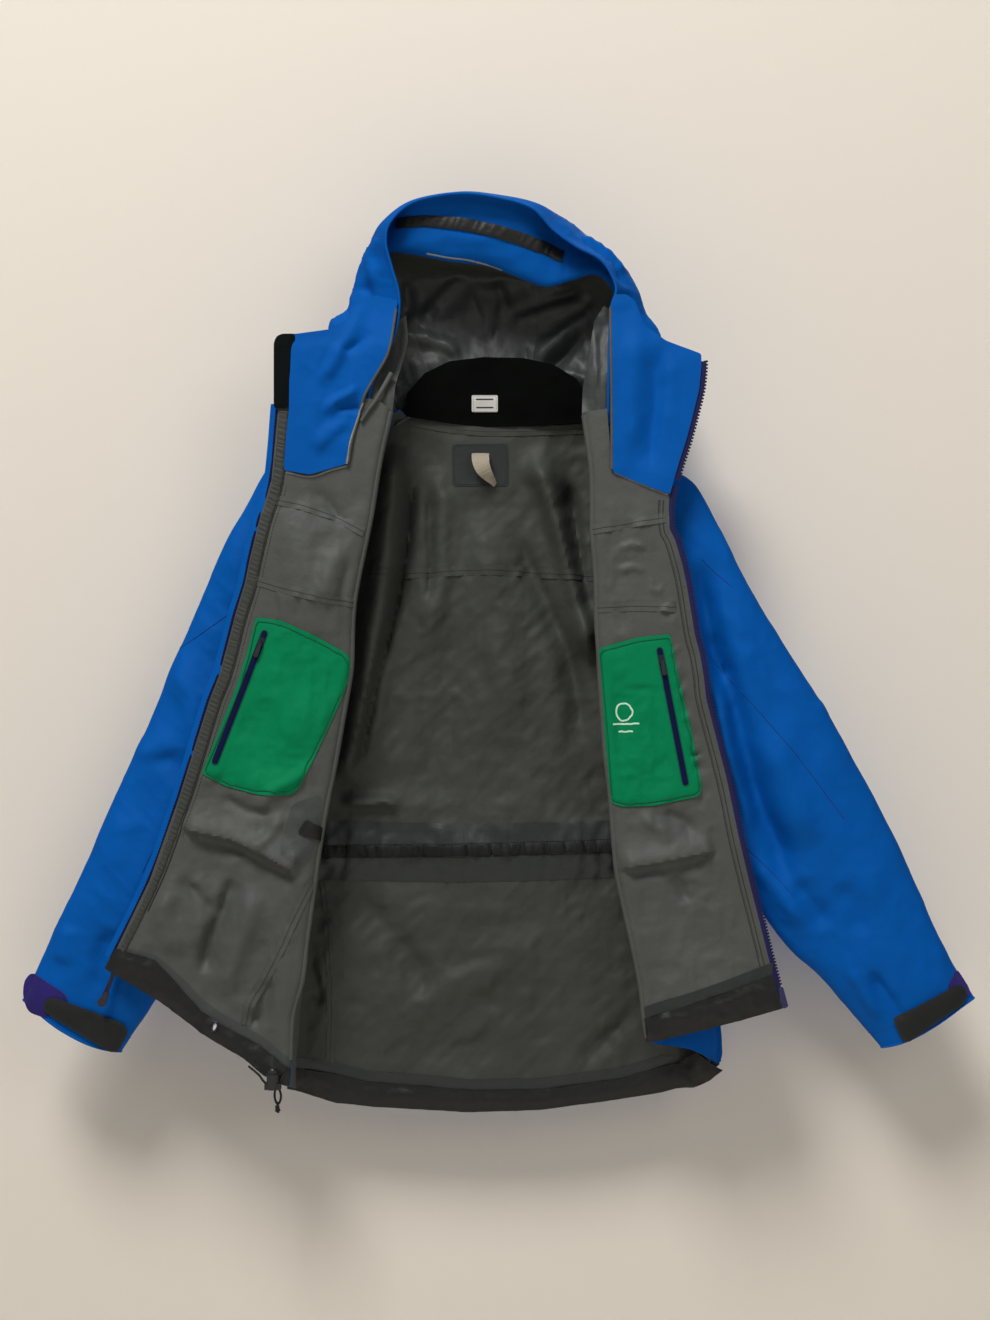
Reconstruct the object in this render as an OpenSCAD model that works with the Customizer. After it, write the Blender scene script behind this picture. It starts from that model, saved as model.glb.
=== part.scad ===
// Hardshell jacket, hanging open with its front panels folded outwards.
// Wearer's right is -X, wearer's left is +X, the open front faces -Y, +Z is up.
// The origin is the centre of the hang loop's bore at the centre back of the neck.

/* [Body] */
// Thickness of the laminated shell fabric as a panel
shell_t = 2; // [1.2:0.2:2.2]
// Distance from the hang loop to the inner face of the back
back_y = 10; // [9.5:0.5:12]
// Distance from the hang loop to the inner face of the open fronts
front_y = 66; // [65:0.5:68]
// Height of the lowest point of the back hem below the hang loop
hem_drop = 745; // [740:1:760]
// Height of the waist drawcord channel below the hang loop
waist_drop = 443; // [438:1:450]
// Width of the waist drawcord channel
waist_w = 13; // [8:1:18]
// Height of the back yoke seam below the hang loop
yoke_drop = 124; // [110:1:140]
// Gap left between neighbouring panels at a seam
seam_gap = 1; // [0.6:0.1:1.5]

/* [Sleeves] */
// Half thickness of the upper sleeve as it hangs
sleeve_half_t = 25; // [18:1:25]
// Half thickness of the sleeve at the cuff
cuff_half_t = 17; // [12:1:20]
// Distance from the hang loop to the middle of the sleeves
sleeve_y = 20; // [20:0.5:21]
// Wall of the sleeve
sleeve_t = 2; // [1.4:0.2:3]

/* [Hood] */
// Height of the top of the hood above the hang loop
hood_top = 310; // [300:1:314]
// Height of the fold the hood turns back over
hood_base = 136; // [135:1:140]
// Half width of the hood at its base
hood_half_w = 165; // [155:1:168]
// Half depth of the hood as it hangs
hood_half_d = 50; // [44:1:52]

/* [Hang loop] */
// Inner radius of the hang loop
loop_r = 6; // [4:0.5:6]
// Width of the loop tape
loop_w = 12; // [8:1:16]
// Thickness of the loop tape
loop_t = 1.4; // [0.8:0.2:1.4]

/* [Main zip] */
// Distance from one tooth to the next
tooth_pitch = 7; // [6:0.5:10]
// Length of one tooth along the zip
tooth_l = 3.4; // [2:0.2:4]
// Width of the zip tape that shows
tape_w = 6; // [4:0.5:7]

/* [Inner pockets] */
// Length of the wearer's right pocket zip
pocket_zip_r = 150; // [140:1:150]
// Length of the wearer's left pocket zip
pocket_zip_l = 147; // [140:1:147]
// Width of the welded zip slot
slot_w = 5; // [4:0.5:6]

/* [Cord locks] */
// Width of a cord lock
lock_w = 18; // [16:1:20]
// Travel of a cord lock button
lock_travel = 5; // [3:0.5:5]

/* [Hidden] */
$fn = 32;
BLUE = [0.02, 0.33, 0.66];
GREY = [0.36, 0.36, 0.34];
BLACK = [0.10, 0.10, 0.11];
GREEN = [0.0, 0.46, 0.30];
PURPLE = [0.16, 0.12, 0.42];
BEIGE = [0.74, 0.70, 0.60];
STEEL = [0.25, 0.25, 0.28];

// ---------- helpers ----------
function rev(list) = [for (i = [len(list) - 1:-1:0]) list[i]];
function mix(from, to, share) = from + (to - from) * share;
function unit(vector) = vector / norm(vector);

// Direction square to an [x, z] direction
function across(dir) = [-dir[1], dir[0]];
// Turn about Y that lays +Z along an [x, z] direction
function turn_to(dir) = atan2(dir[0], dir[1]);
// Outline between two shifted copies of a line of [x, z] points
function band(line, shift_a, shift_b) =
    concat([for (p = line) p + shift_a], rev([for (p = line) p + shift_b]));

// A straight zip is [start, direction], both as [x, z]
function zip_point(zip, distance) = zip[0] + zip[1] * distance;
// Outline of the stretch of a straight zip between two distances from its start
function strip(zip, from, to, width) =
    let (side = across(zip[1]) * width / 2, a = zip_point(zip, from), b = zip_point(zip, to))
    [a + side, b + side, b - side, a - side];

// [point, direction] at a distance along a path of [x, z] points
function along(path, distance, i = 0) =
    let (step = path[i + 1] - path[i], l = norm(step))
    l >= distance || i == len(path) - 2
        ? [path[i] + unit(step) * distance, unit(step)]
        : along(path, distance - l, i + 1);
function path_length(path, i = 0) =
    i > len(path) - 2 ? 0 : norm(path[i + 1] - path[i]) + path_length(path, i + 1);

// Two triangles that fill a four-sided face
function quad(a, b, c, d) = [[a, b, c], [a, c, d]];

// Differences between a grid point's neighbours, from row to row and from column to column
function row_step(grid, i, j) = grid[min(i + 1, len(grid) - 1)][j] - grid[max(i - 1, 0)][j];
function column_step(grid, i, j) =
    grid[i][min(j + 1, len(grid[0]) - 1)] - grid[i][max(j - 1, 0)];

// Closed sheet of shell fabric centred on a grid of points
module sheet(grid) {
    rows = len(grid);
    columns = len(grid[0]);
    count = rows * columns;
    middle = [for (row = grid) for (p = row) p];
    offsets = [for (i = [0:rows - 1]) for (j = [0:columns - 1])
        unit(cross(row_step(grid, i, j), column_step(grid, i, j))) * shell_t / 2];
    rim = concat(
        [for (j = [0:columns - 1]) j],
        [for (i = [1:rows - 1]) i * columns + columns - 1],
        [for (j = [columns - 2:-1:0]) (rows - 1) * columns + j],
        [for (i = [rows - 2:-1:1]) i * columns]);
    faces = concat(
        [for (i = [0:rows - 2]) for (j = [0:columns - 2])
            let (a = i * columns + j, b = a + 1, c = b + columns, d = a + columns)
            each concat(quad(a, b, c, d), quad(count + a, count + d, count + c, count + b))],
        [for (k = [0:len(rim) - 1]) let (a = rim[k], b = rim[(k + 1) % len(rim)])
            each quad(a, count + a, count + b, b)]);
    polyhedron(points = concat(middle + offsets, middle - offsets), faces = faces, convexity = 6);
}

// Flat fabric cut from an [x, z] outline; its face nearest the viewer is at y
module cut(outline, y, t)
    translate([0, y + t, 0]) rotate([90, 0, 0]) linear_extrude(t) polygon(outline);
// Puts children at an [x, z] place and depth y, turned in the plane of the panels
module place(at, y, turn = 0) translate([at[0], y, at[1]]) rotate([0, turn, 0]) children();
module block(centre, size) translate(centre) cube(size, center = true);
// Disc lying in the plane of the panels, h thick
module disc(at, y, h, r) place(at, y) rotate([90, 0, 0]) cylinder(h = h, r = r, center = true);
module tooth(at, y, dir) place(at, y, turn_to(dir)) cube([4.6, 2.6, tooth_l], center = true);

// ---------- back, sides and shoulders ----------
// Side edges of the back: [height, x]
right_edge = [[-720, -226], [-694, -224], [-546, -217], [-385, -213], [-200, -213],
    [-107, -222], [14, -236]];
left_edge = [[-700, 274], [-685, 272], [-546, 263], [-385, 250], [-200, 243], [-107, 238],
    [10, 238]];
// Top of the yoke, and both edges of the hem facing: [x, z]
shoulder_line = [[-240, 8], [-226, 16], [-85, 56], [-40, 47], [4, 45], [60, 46], [122, 48],
    [238, -4], [242, -6]];
hem_top = [[-226, -693], [-170, -701], [-97, -713], [-15, -720], [66, -719], [158, -708],
    [230, -694], [274, -683]];
hem_low = [[-226, -715], [-170, -734], [-120, -739], [-15, -hem_drop], [66, -742], [147, -731],
    [206, -722], [245, -712], [272, -692], [274, -690]];
// Centre line of the waist channel: [x, z above the waist]
waist_line = [[-186, -4], [-20, 3], [141, 6]];
waist_seam_z = -waist_drop + 3;
side_top_z = -214;

// Fold each front panel turns about, as x at height z
function right_fold(z) = -157.7 + 0.1535 * (z + 300);
function left_fold(z) = 142 - 0.097 * (z + 300);

// [x, z] points on a side edge of the back, evenly spaced in height
function edge_points(edge, z_from, z_to, steps) =
    [for (i = [0:steps]) let (z = mix(z_from, z_to, i / steps)) [lookup(z, edge), z]];

module back_yoke() color(BLUE) {
    z = -yoke_drop;
    cut(concat([[lookup(z, right_edge), z], [-225, -90], [-232, -40]], shoulder_line,
        [[240, -60], [lookup(z, left_edge), z]]), back_y, shell_t);
}
module back_panel() color(BLUE) {
    top_z = -yoke_drop - seam_gap;
    cut(concat(edge_points(right_edge, waist_seam_z, top_z, 6),
        rev(edge_points(left_edge, waist_seam_z, top_z, 6))), back_y, shell_t);
}
module back_lower_panel() color(BLUE) {
    top_z = waist_seam_z - seam_gap;
    side_low_z = -670;
    cut(concat(edge_points(right_edge, top_z, side_low_z, 5),
        [for (p = hem_top) p + [0, seam_gap]],
        rev(edge_points(left_edge, top_z, side_low_z, 5))), back_y, shell_t);
}
module back_hem_facing() color(BLACK) cut(concat(hem_top, rev(hem_low)), back_y, shell_t);

// Side panels run from the fold of the front to the edge of the back
function side_heights(low_z) = [for (i = [0:10]) mix(side_top_z, low_z, i / 10)];
function side_row(z, front_x, back_x) = [for (i = [0:4]) let (share = i / 4)
    [mix(front_x, back_x, share), mix(-58, back_y - 3, share), z]];

module right_side_panel() color(BLUE) sheet([for (z = side_heights(-690))
    side_row(z, min(right_fold(z) - 3, -150), lookup(z, right_edge) + 1)]);
// The back edge draws in by up to 12 over the top 120 of the panel
module left_side_panel() color(BLUE) sheet([for (z = side_heights(-662))
    side_row(z, left_fold(z) + 4,
        lookup(z, left_edge) - 2 - 12 * max(0, 1 + (z - side_top_z) / 120))]);

// Arched strip from the shoulder line forwards, between two x positions
module shoulder(x_from, x_to) sheet([for (i = [0:6])
    let (x = mix(x_from, x_to, i / 6), z = lookup(x, shoulder_line) - 3)
    [for (j = [0:5]) let (share = j / 5)
        [x, mix(back_y - 2, -56, share), z - 10 * (1 - cos(90 * share)) + 3 * sin(180 * share)]]]);
module right_shoulder_panel() color(BLUE) shoulder(-238, -104);
module left_shoulder_panel() color(BLUE) shoulder(124, 236);

// ---------- neck and waist ----------
loop_outer_r = loop_r + loop_t;

// Stand-up neck inside the collar, open at the front and wider at the top
module nape_lining() color(BLACK) sheet([for (i = [0:5])
    let (share = i / 5, z = mix(57.5, hood_base - 4, share),
        half_w = mix(102, 114, share), half_d = mix(50, 66, share))
    [for (j = [0:16]) let (angle = mix(-14, 194, j / 16))
        [16 + half_w * cos(angle), -36 + half_d * sin(angle), z]]]);
module neck_label() color("white") cut([[-14, 64], [16, 64], [16, 82], [-14, 82]], 8.2, 0.8);
// Rounded pad behind the loop
module hang_loop_patch() color(BLACK) {
    width = 65;
    height = 49;
    corner_r = 4;
    place([-4, 3], 8.8) rotate([90, 0, 0]) linear_extrude(1, center = true) hull()
        for (i = [-1, 1]) for (j = [-1, 1])
            translate([i * (width / 2 - corner_r), j * (height / 2 - corner_r)])
                circle(corner_r);
}
module hang_loop() color(BEIGE) difference() {
    union() {
        rotate([0, 90, 0]) cylinder(h = loop_w, r = loop_outer_r, center = true);
        block([0, loop_outer_r - 0.5, 0], [loop_w, 1, 34]);
    }
    rotate([0, 90, 0]) cylinder(h = loop_w + 2, r = loop_r, center = true);
}
module waist_drawcord_channel() color(BLACK)
    cut(band(waist_line, [0, -waist_drop - waist_w / 2], [0, -waist_drop + waist_w / 2]),
        back_y - 2, 1.2);

// ---------- cord locks ----------
lock_bore_r = lock_w / 2 - 3.6;
lock_button_r = lock_bore_r - 0.08;
lock_cord_z = -6.5;
left_hem_lock_at = [255, 0, -683];
right_hem_lock_at = [-234, -78, -690];
hood_lock_at = [6, hood_half_d + 2, 200];

// Barrel with an open mouth at the top and a cross hole for the cord
module lock_body(at) translate(at) difference() {
    union() {
        translate([0, 0, -10]) cylinder(h = 17, r = lock_w / 2 - 2);
        block([0, 0, lock_cord_z], [lock_w, 9, 7]);
    }
    translate([0, 0, -3]) cylinder(h = 14, r = lock_bore_r);
    translate([0, 0, lock_cord_z]) rotate([0, 90, 0])
        cylinder(h = lock_w + 4, r = 1.6, center = true);
}
// Button in the barrel's mouth, with a chamfered top
module lock_button(at) translate(at + [0, 0, lock_travel - 2.8]) {
    stem_h = 9.5;
    cylinder(h = stem_h, r = lock_button_r);
    translate([0, 0, stem_h]) cylinder(h = 1.5, r1 = lock_button_r, r2 = lock_w / 2 - 5);
}
module left_hem_cord_lock() color(STEEL) lock_body(left_hem_lock_at);
module left_hem_lock_button() color(BLACK) lock_button(left_hem_lock_at);
module right_hem_cord_lock() color(STEEL) lock_body(right_hem_lock_at);
module right_hem_lock_button() color(BLACK) lock_button(right_hem_lock_at);
module hood_cord_lock() color(STEEL) lock_body(hood_lock_at);
module hood_lock_button() color(BLACK) lock_button(hood_lock_at);

// ---------- wearer's right front: outlines as [x, z] ----------
right_zip_edge = [[-238, -22], [-251, -69], [-261, -110], [-277, -171], [-295, -239],
    [-306, -267], [-341, -379], [-373, -469]];
right_front_top = [[-130, 62], [-138, 44], [-145, 22], [-149.5, -6.5], [-194, -17],
    [-226, -12.5]];
right_front_low = [[-404, -543], [-368, -557], [-339, -588], [-316, -615], [-286, -634],
    [-253, -652], [-222, -676]];
right_facing = [[-407, -546], [-368, -559], [-339, -590], [-316, -617], [-286, -636],
    [-253, -654], [-222, -679], [-222, -700], [-246, -687], [-268, -669], [-316, -640],
    [-364, -603], [-423, -567]];
right_collar_outline = [[-216, 131], [-104, 131], [-110, 112], [-132, 74], [-140, 46],
    [-147, 23], [-151, -3], [-194, -15], [-222, -10], [-217, 50]];
chin_guard_outline = [[-234, 131], [-231, 138], [-225, 141], [-212, 141], [-212, 100],
    [-217, 58], [-234, 58]];

module right_front_panel() color(GREY) cut(concat(right_front_top, right_zip_edge,
    right_front_low, [for (z = [-676, 56]) [right_fold(z) - 4, z]], [[-118, 68]]),
    -front_y, shell_t);
module right_front_hem_facing() color(BLACK) cut(right_facing, -front_y, shell_t);
module right_storm_flap() color(GREY)
    cut(band(right_zip_edge, [0.5, 0], [11.5, 0]), -front_y - 2.4, 1.4);
module right_collar() color(BLUE) cut(right_collar_outline, -front_y, shell_t);
module right_chin_guard() color(BLACK) cut(chin_guard_outline, -front_y - 2.6, 1.6);

// ---------- main zip on the wearer's right ----------
// The closing row runs straight from the hem to the foot of the collar
row_low = [-410, -557];
row_high = [-242, -21];
row_len = norm(row_high - row_low);
row_dir = (row_high - row_low) / row_len;
row_zip = [row_low, row_dir];
row_turn = turn_to(row_dir);
row_y = -59.6;
main_pull_y = -51.4;
main_stud_r = 1.2;
small_stud_r = 0.8;
// Radial play of a pull on its stud
stud_play = 0.06;

module right_zip_tape() color(PURPLE) {
    tape_line = [row_low - across(row_dir) * (3.2 + tape_w / 2), row_dir];
    cut(strip(tape_line, 7.6, row_len, tape_w), row_y - 0.4, 0.8);
}
module right_zip_teeth() color(PURPLE)
    for (distance = [tooth_pitch * 4:tooth_pitch:row_len])
        tooth(zip_point(row_zip, distance), row_y, row_dir);
module zip_retainer_box() color(PURPLE)
    place(zip_point(row_zip, 3.5), row_y, row_turn) cube([9, 4, 7], center = true);
// Two plates joined by a bridge, clear of the teeth, with a lug and stud on the +Y plate
module main_zip_slider() color(STEEL) place(zip_point(row_zip, 16), row_y, row_turn) {
    for (side = [1, -1]) block([0, side * 2.4, 0], [11, 1.2, 15]);
    block([-4.3, 0, 0], [2, 6, 13]);
    block([0, 4.4, -2], [5, 3, 9]);
    translate([0, 5.9, -5.5]) rotate([-90, 0, 0]) cylinder(h = 4.2, r = main_stud_r);
}
// Tapered tab with a thicker grip at its lower end
module main_zip_pull() color(PURPLE) {
    eye = zip_point(row_zip, 10.5);
    grip = [-424, -598];
    difference() {
        union() {
            hull() {
                disc(eye, main_pull_y, h = 2, r = 3);
                disc(grip, main_pull_y, h = 2, r = 1.6);
            }
            hull() {
                disc(grip, main_pull_y, h = 4, r = 2.5);
                disc(grip + [-5, -10], main_pull_y, h = 4, r = 5);
            }
        }
        disc(eye, main_pull_y, h = 6, r = main_stud_r + stud_play);
    }
}

// ---------- inner pockets and chest zips ----------
// Pocket outlines: [x, z]
right_pocket = [[-254, -175], [-226, -179], [-190, -195], [-156, -213], [-149, -225],
    [-151, -244], [-166, -278], [-192, -335], [-209, -367], [-215, -374], [-251, -373],
    [-288, -364], [-314, -350], [-301, -316], [-278, -258], [-268, -231], [-258, -195]];
left_pocket = [[136, -211], [171, -198], [207, -193], [209, -197], [217, -238], [232, -301],
    [244, -365], [241, -375], [188, -386], [158, -387], [150, -383], [141, -318]];
// Each zip: top end and direction down the zip
right_pocket_line = [[-245, -195], unit([-54, -140])];
left_pocket_line = [[197, -214], unit([28, -144])];
right_chest_line = [[-226, -75], unit([-24, -150])];
left_chest_line = [[180, -85], unit([20, -150])];
pocket_y = -front_y - 2.4;
pocket_t = 1.2;
pocket_slider_y = -front_y - 3.6;
pocket_pull_y = -front_y - 6.9;
// Chest zips lie on the outer face of each front
chest_zip_y = -front_y + shell_t + 0.4;
chest_slider_y = -front_y + shell_t + 2.6;

// Pocket with a slot that clears its zip by 0.6 each side and 3 at each end
module pocket(outline, zip, zip_len) difference() {
    cut(outline, pocket_y, pocket_t);
    cut(strip(zip, -3, zip_len + 3, slot_w + 1.2), -front_y - 3, 4);
}
module pocket_zip(zip, zip_len) cut(strip(zip, 0, zip_len, slot_w), pocket_y, pocket_t);
module chest_zip(zip) cut(strip(zip, 0, 150, 6), chest_zip_y, 1);
// Plate and lug; the lug faces -Y and carries a stud, or faces +Y without one
module small_slider(zip, y, faces_front) place(zip_point(zip, 8), y, turn_to(zip[1])) {
    block([0, 0, 0], [6, 1.6, 9]);
    block([0, faces_front ? -1.5 : 1.5, 1], [3, 2, 3.4]);
    if (faces_front)
        translate([0, -4.6, 1]) rotate([-90, 0, 0]) cylinder(h = 2.4, r = small_stud_r);
}
module small_pull(zip) {
    eye = zip_point(zip, 9);
    difference() {
        hull() {
            disc(eye, pocket_pull_y, h = 1.4, r = 1.8);
            disc(eye + zip[1] * 15, pocket_pull_y, h = 1.4, r = 2.6);
        }
        disc(eye, pocket_pull_y, h = 4, r = small_stud_r + stud_play);
    }
}
module right_inner_pocket() color(GREEN) pocket(right_pocket, right_pocket_line, pocket_zip_r);
module left_inner_pocket() color(GREEN) pocket(left_pocket, left_pocket_line, pocket_zip_l);
module right_pocket_zip() color(PURPLE) pocket_zip(right_pocket_line, pocket_zip_r);
module left_pocket_zip() color(PURPLE) pocket_zip(left_pocket_line, pocket_zip_l);
module right_pocket_slider() color(STEEL) small_slider(right_pocket_line, pocket_slider_y, true);
module left_pocket_slider() color(STEEL) small_slider(left_pocket_line, pocket_slider_y, true);
module right_pocket_pull() color(BLACK) small_pull(right_pocket_line);
module left_pocket_pull() color(BLACK) small_pull(left_pocket_line);
module right_chest_zip() color(BLUE) chest_zip(right_chest_line);
module left_chest_zip() color(BLUE) chest_zip(left_chest_line);
module right_chest_slider() color(STEEL) small_slider(right_chest_line, chest_slider_y, false);
module left_chest_slider() color(STEEL) small_slider(left_chest_line, chest_slider_y, false);

// ---------- wearer's left front: edges as [x, z] ----------
left_zip_edge = [[207, -53], [214, -89], [222, -116], [231, -163], [242, -217], [249, -267],
    [273, -357], [292, -435], [314, -513], [326, -578]];
left_collar_edge = [[207, -35], [219, -13], [227, 10], [235, 35], [243, 65], [251, 92],
    [245, 118]];
left_row = concat([[207, -40]], left_zip_edge, [[337, -607]]);
left_row_len = path_length(left_row);
// Depth of the middle of the tape and teeth
edge_zip_y = -front_y + 0.5;

// Point beside the fold of the left front
function left_inner(z) = [left_fold(z) + 4, z];

module left_front_panel() color(GREY) cut(concat(
    [left_inner(50), [138, 50], [140, -12], [175, -26], [205, -38], [206, -38]],
    [for (p = left_zip_edge) p - [1, 1]],
    [[324, -578], [249, -602], left_inner(-625)]), -front_y, shell_t);
module left_front_hem_facing() color(BLACK) cut([[324, -580], [249, -603], left_inner(-626),
    left_inner(-651), [265, -631], [339, -611]], -front_y, shell_t);
module left_collar() color(BLUE) cut(concat(
    [[142, -10], [142, 131], [206, 131], [242, 118]],
    [for (i = [len(left_collar_edge) - 2:-1:0]) left_collar_edge[i] + [-1, 1]],
    [[175, -23]]), -front_y, shell_t);

// Tape and teeth that follow a curved edge; the teeth stand offset from it in x
module edge_tape(path) cut(band(path, [0.8, 0], [0.8 + tape_w, 0]), -front_y, 1);
module edge_teeth(path, offset_x, from, to) for (distance = [from:tooth_pitch:to])
    let (spot = along(path, distance))
    tooth(spot[0] + [offset_x, 0], edge_zip_y, spot[1]);

module left_zip_tape() color(PURPLE) edge_tape(left_row);
module left_zip_teeth() color(PURPLE)
    edge_teeth(left_row, tape_w + 3.6, from = 5, to = left_row_len - 30);
module insertion_pin() color(PURPLE) {
    spot = along(left_row, left_row_len - 12);
    place(spot[0] + [tape_w + 3.8, 0], edge_zip_y, turn_to(spot[1]))
        cube([3.4, 3, 20], center = true);
}
module left_collar_zip() color(PURPLE) {
    edge_tape(left_collar_edge);
    edge_teeth(left_collar_edge, tape_w + 2.6, from = 6, to = path_length(left_collar_edge) - 6);
}

// ---------- sleeves ----------
// Stations from shoulder to cuff: [outer x, outer z, inner x, inner z, half thickness]
right_sleeve = [
    [-252, -12, -190, -206, 16],
    [-298, -101, -196, -262, 22],
    [-346, -209, -216, -320, sleeve_half_t],
    [-380, -291, -246, -394, sleeve_half_t],
    [-420, -382, -287, -474, 24],
    [-460, -473, -335, -548, 22],
    [-494, -542, -375, -608, 20],
    [-526, -614, -412, -668, cuff_half_t]];
left_sleeve = [
    [246, -26, 210, -212, 16],
    [286, -108, 216, -262, 22],
    [332, -192, 230, -318, sleeve_half_t],
    [376, -262, 258, -394, sleeve_half_t],
    [430, -355, 297, -478, 24],
    [480, -455, 345, -548, 22],
    [519, -542, 390, -596, 20],
    [557, -605, 469, -668, cuff_half_t]];
ring_points = 28;
cuff_patch_y = -42;
cuff_tab_y = -46;

// Elliptical ring of points at a station, drawn in by inset
function ring(station, inset) =
    let (outer = [station[0], 0, station[1]], inner = [station[2], 0, station[3]],
        centre = (outer + inner) / 2, dir = unit(outer - inner),
        half_w = norm(outer - inner) / 2 - inset, half_t = station[4] - inset)
    [for (k = [0:ring_points - 1]) let (angle = 360 * k / ring_points)
        centre + dir * half_w * cos(angle) + [0, -sleeve_y + half_t * sin(angle), 0]];

// Hollow sleeve through a list of stations, open at both ends
module tube(stations) {
    rings = concat([for (s = stations) ring(s, 0)], [for (s = stations) ring(s, sleeve_t)]);
    last = (len(stations) - 1) * ring_points;
    // Index step from an outer point to the inner one
    wall = last + ring_points;
    faces = [for (k = [0:ring_points - 1]) let (next = (k + 1) % ring_points) each concat(
        [for (i = [0:len(stations) - 2])
            let (a = i * ring_points + k, b = i * ring_points + next,
                c = b + ring_points, d = a + ring_points)
            each concat(quad(a, b, c, d), quad(wall + a, wall + d, wall + c, wall + b))],
        quad(k, wall + k, wall + next, next),
        quad(last + k, last + next, wall + last + next, wall + last + k))];
    polyhedron(points = [for (r = rings) for (p = r) p], faces = faces, convexity = 8);
}

// Station moved towards another by a distance measured along the outer edge
function toward(station, other, distance) =
    let (step = other - station) station + step * distance / norm([step[0], step[1]]);
// The two halves meet at the fourth station, each kept back by the seam gap
module upper(s) tube([s[0], s[1], s[2], toward(s[3], s[2], seam_gap)]);
module forearm(s) tube([toward(s[3], s[4], seam_gap), s[4], s[5], s[6], s[7]]);

module right_upper_sleeve() color(BLUE) upper(right_sleeve);
module left_upper_sleeve() color(BLUE) upper(left_sleeve);
module right_forearm_sleeve() color(BLUE) forearm(right_sleeve);
module left_forearm_sleeve() color(BLUE) forearm(left_sleeve);
module right_cuff_patch() color(PURPLE)
    cut([[-509, -588], [-472, -606], [-470, -613], [-492, -624], [-514, -614]],
        cuff_patch_y, 1.2);
module left_cuff_patch() color(PURPLE)
    cut([[526, -589], [538, -573], [549, -594], [530, -598]], cuff_patch_y, 1.2);
module right_cuff_tab() color(BLACK)
    cut([[-491, -611], [-487, -609], [-407, -639], [-408, -650], [-418, -664], [-493, -622]],
        cuff_tab_y, 1.6);
module left_cuff_tab() color(BLACK)
    cut([[466, -624], [538, -592], [546, -597], [543, -608], [525, -624], [482, -650]],
        cuff_tab_y, 1.6);

// ---------- hood ----------
// [share of the hood's height, amount drawn in from the half width or half depth]
hood_w_inset = [[0, 3], [0.2, 0], [0.4, 8], [0.6, 26], [0.78, 48], [0.9, 76], [0.97, 118]];
hood_d_inset = [[0, 2], [0.6, 0], [0.78, 6], [0.9, 18], [0.97, 34]];

// Point on the hood; the angle runs from the wearer's left (0) to the back (90)
function hood_point(share, angle) = [
    6 + (hood_half_w - lookup(share, hood_w_inset)) * cos(angle),
    -8 + (hood_half_d - lookup(share, hood_d_inset)) * sin(angle),
    mix(hood_base, hood_top, share)];
module hood_part(from, to, steps) sheet([for (row = hood_w_inset)
    [for (k = [0:steps]) hood_point(row[0], mix(from, to, k / steps))]]);
module hood_crown() color(BLUE) hood_part(from = 50.6, to = 129.4, steps = 8);
module left_hood_side() color(BLUE) hood_part(from = -38, to = 50, steps = 9);
module right_hood_side() color(BLUE) hood_part(from = 130, to = 218, steps = 9);
// Arched peak that widens and drops towards the front
module hood_brim() color(BLUE) sheet([for (i = [0:10])
    let (x = mix(-66, 74, i / 10), arch = sin(180 * i / 10))
    [for (j = [0:4]) let (out = j / 4) [
        x * (1 + 0.08 * out),
        -18 - 6 * arch - 34 * out,
        284 + 24 * arch - 10 * arch * out - 26 * out * out]]]);

back_yoke();
back_panel();
back_lower_panel();
back_hem_facing();
right_side_panel();
left_side_panel();
right_shoulder_panel();
left_shoulder_panel();
nape_lining();
neck_label();
hang_loop_patch();
hang_loop();
waist_drawcord_channel();
left_hem_cord_lock();
left_hem_lock_button();
right_front_panel();
right_front_hem_facing();
right_storm_flap();
right_zip_tape();
right_zip_teeth();
zip_retainer_box();
right_inner_pocket();
right_pocket_zip();
main_zip_slider();
main_zip_pull();
right_pocket_slider();
right_pocket_pull();
right_chest_zip();
right_chest_slider();
right_hem_cord_lock();
right_hem_lock_button();
right_collar();
right_chin_guard();
left_front_panel();
left_front_hem_facing();
left_zip_tape();
left_zip_teeth();
insertion_pin();
left_inner_pocket();
left_pocket_zip();
left_pocket_slider();
left_pocket_pull();
left_chest_zip();
left_chest_slider();
left_collar();
left_collar_zip();
right_upper_sleeve();
right_forearm_sleeve();
right_cuff_patch();
right_cuff_tab();
left_upper_sleeve();
left_forearm_sleeve();
left_cuff_patch();
left_cuff_tab();
hood_crown();
right_hood_side();
left_hood_side();
hood_brim();
hood_cord_lock();
hood_lock_button();
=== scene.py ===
"""An open hooded shell jacket, spread upright with its lining towards the viewer.

Lengths are millimetres until a mesh is made. x runs across (the jacket's right side is at -x),
z runs up to the hood, and the viewer looks along +y, so a smaller y is nearer. Outlines are
(x, z) points and a surface is a function that gives the depth y over (x, z).
"""
import math
from functools import lru_cache

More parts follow.
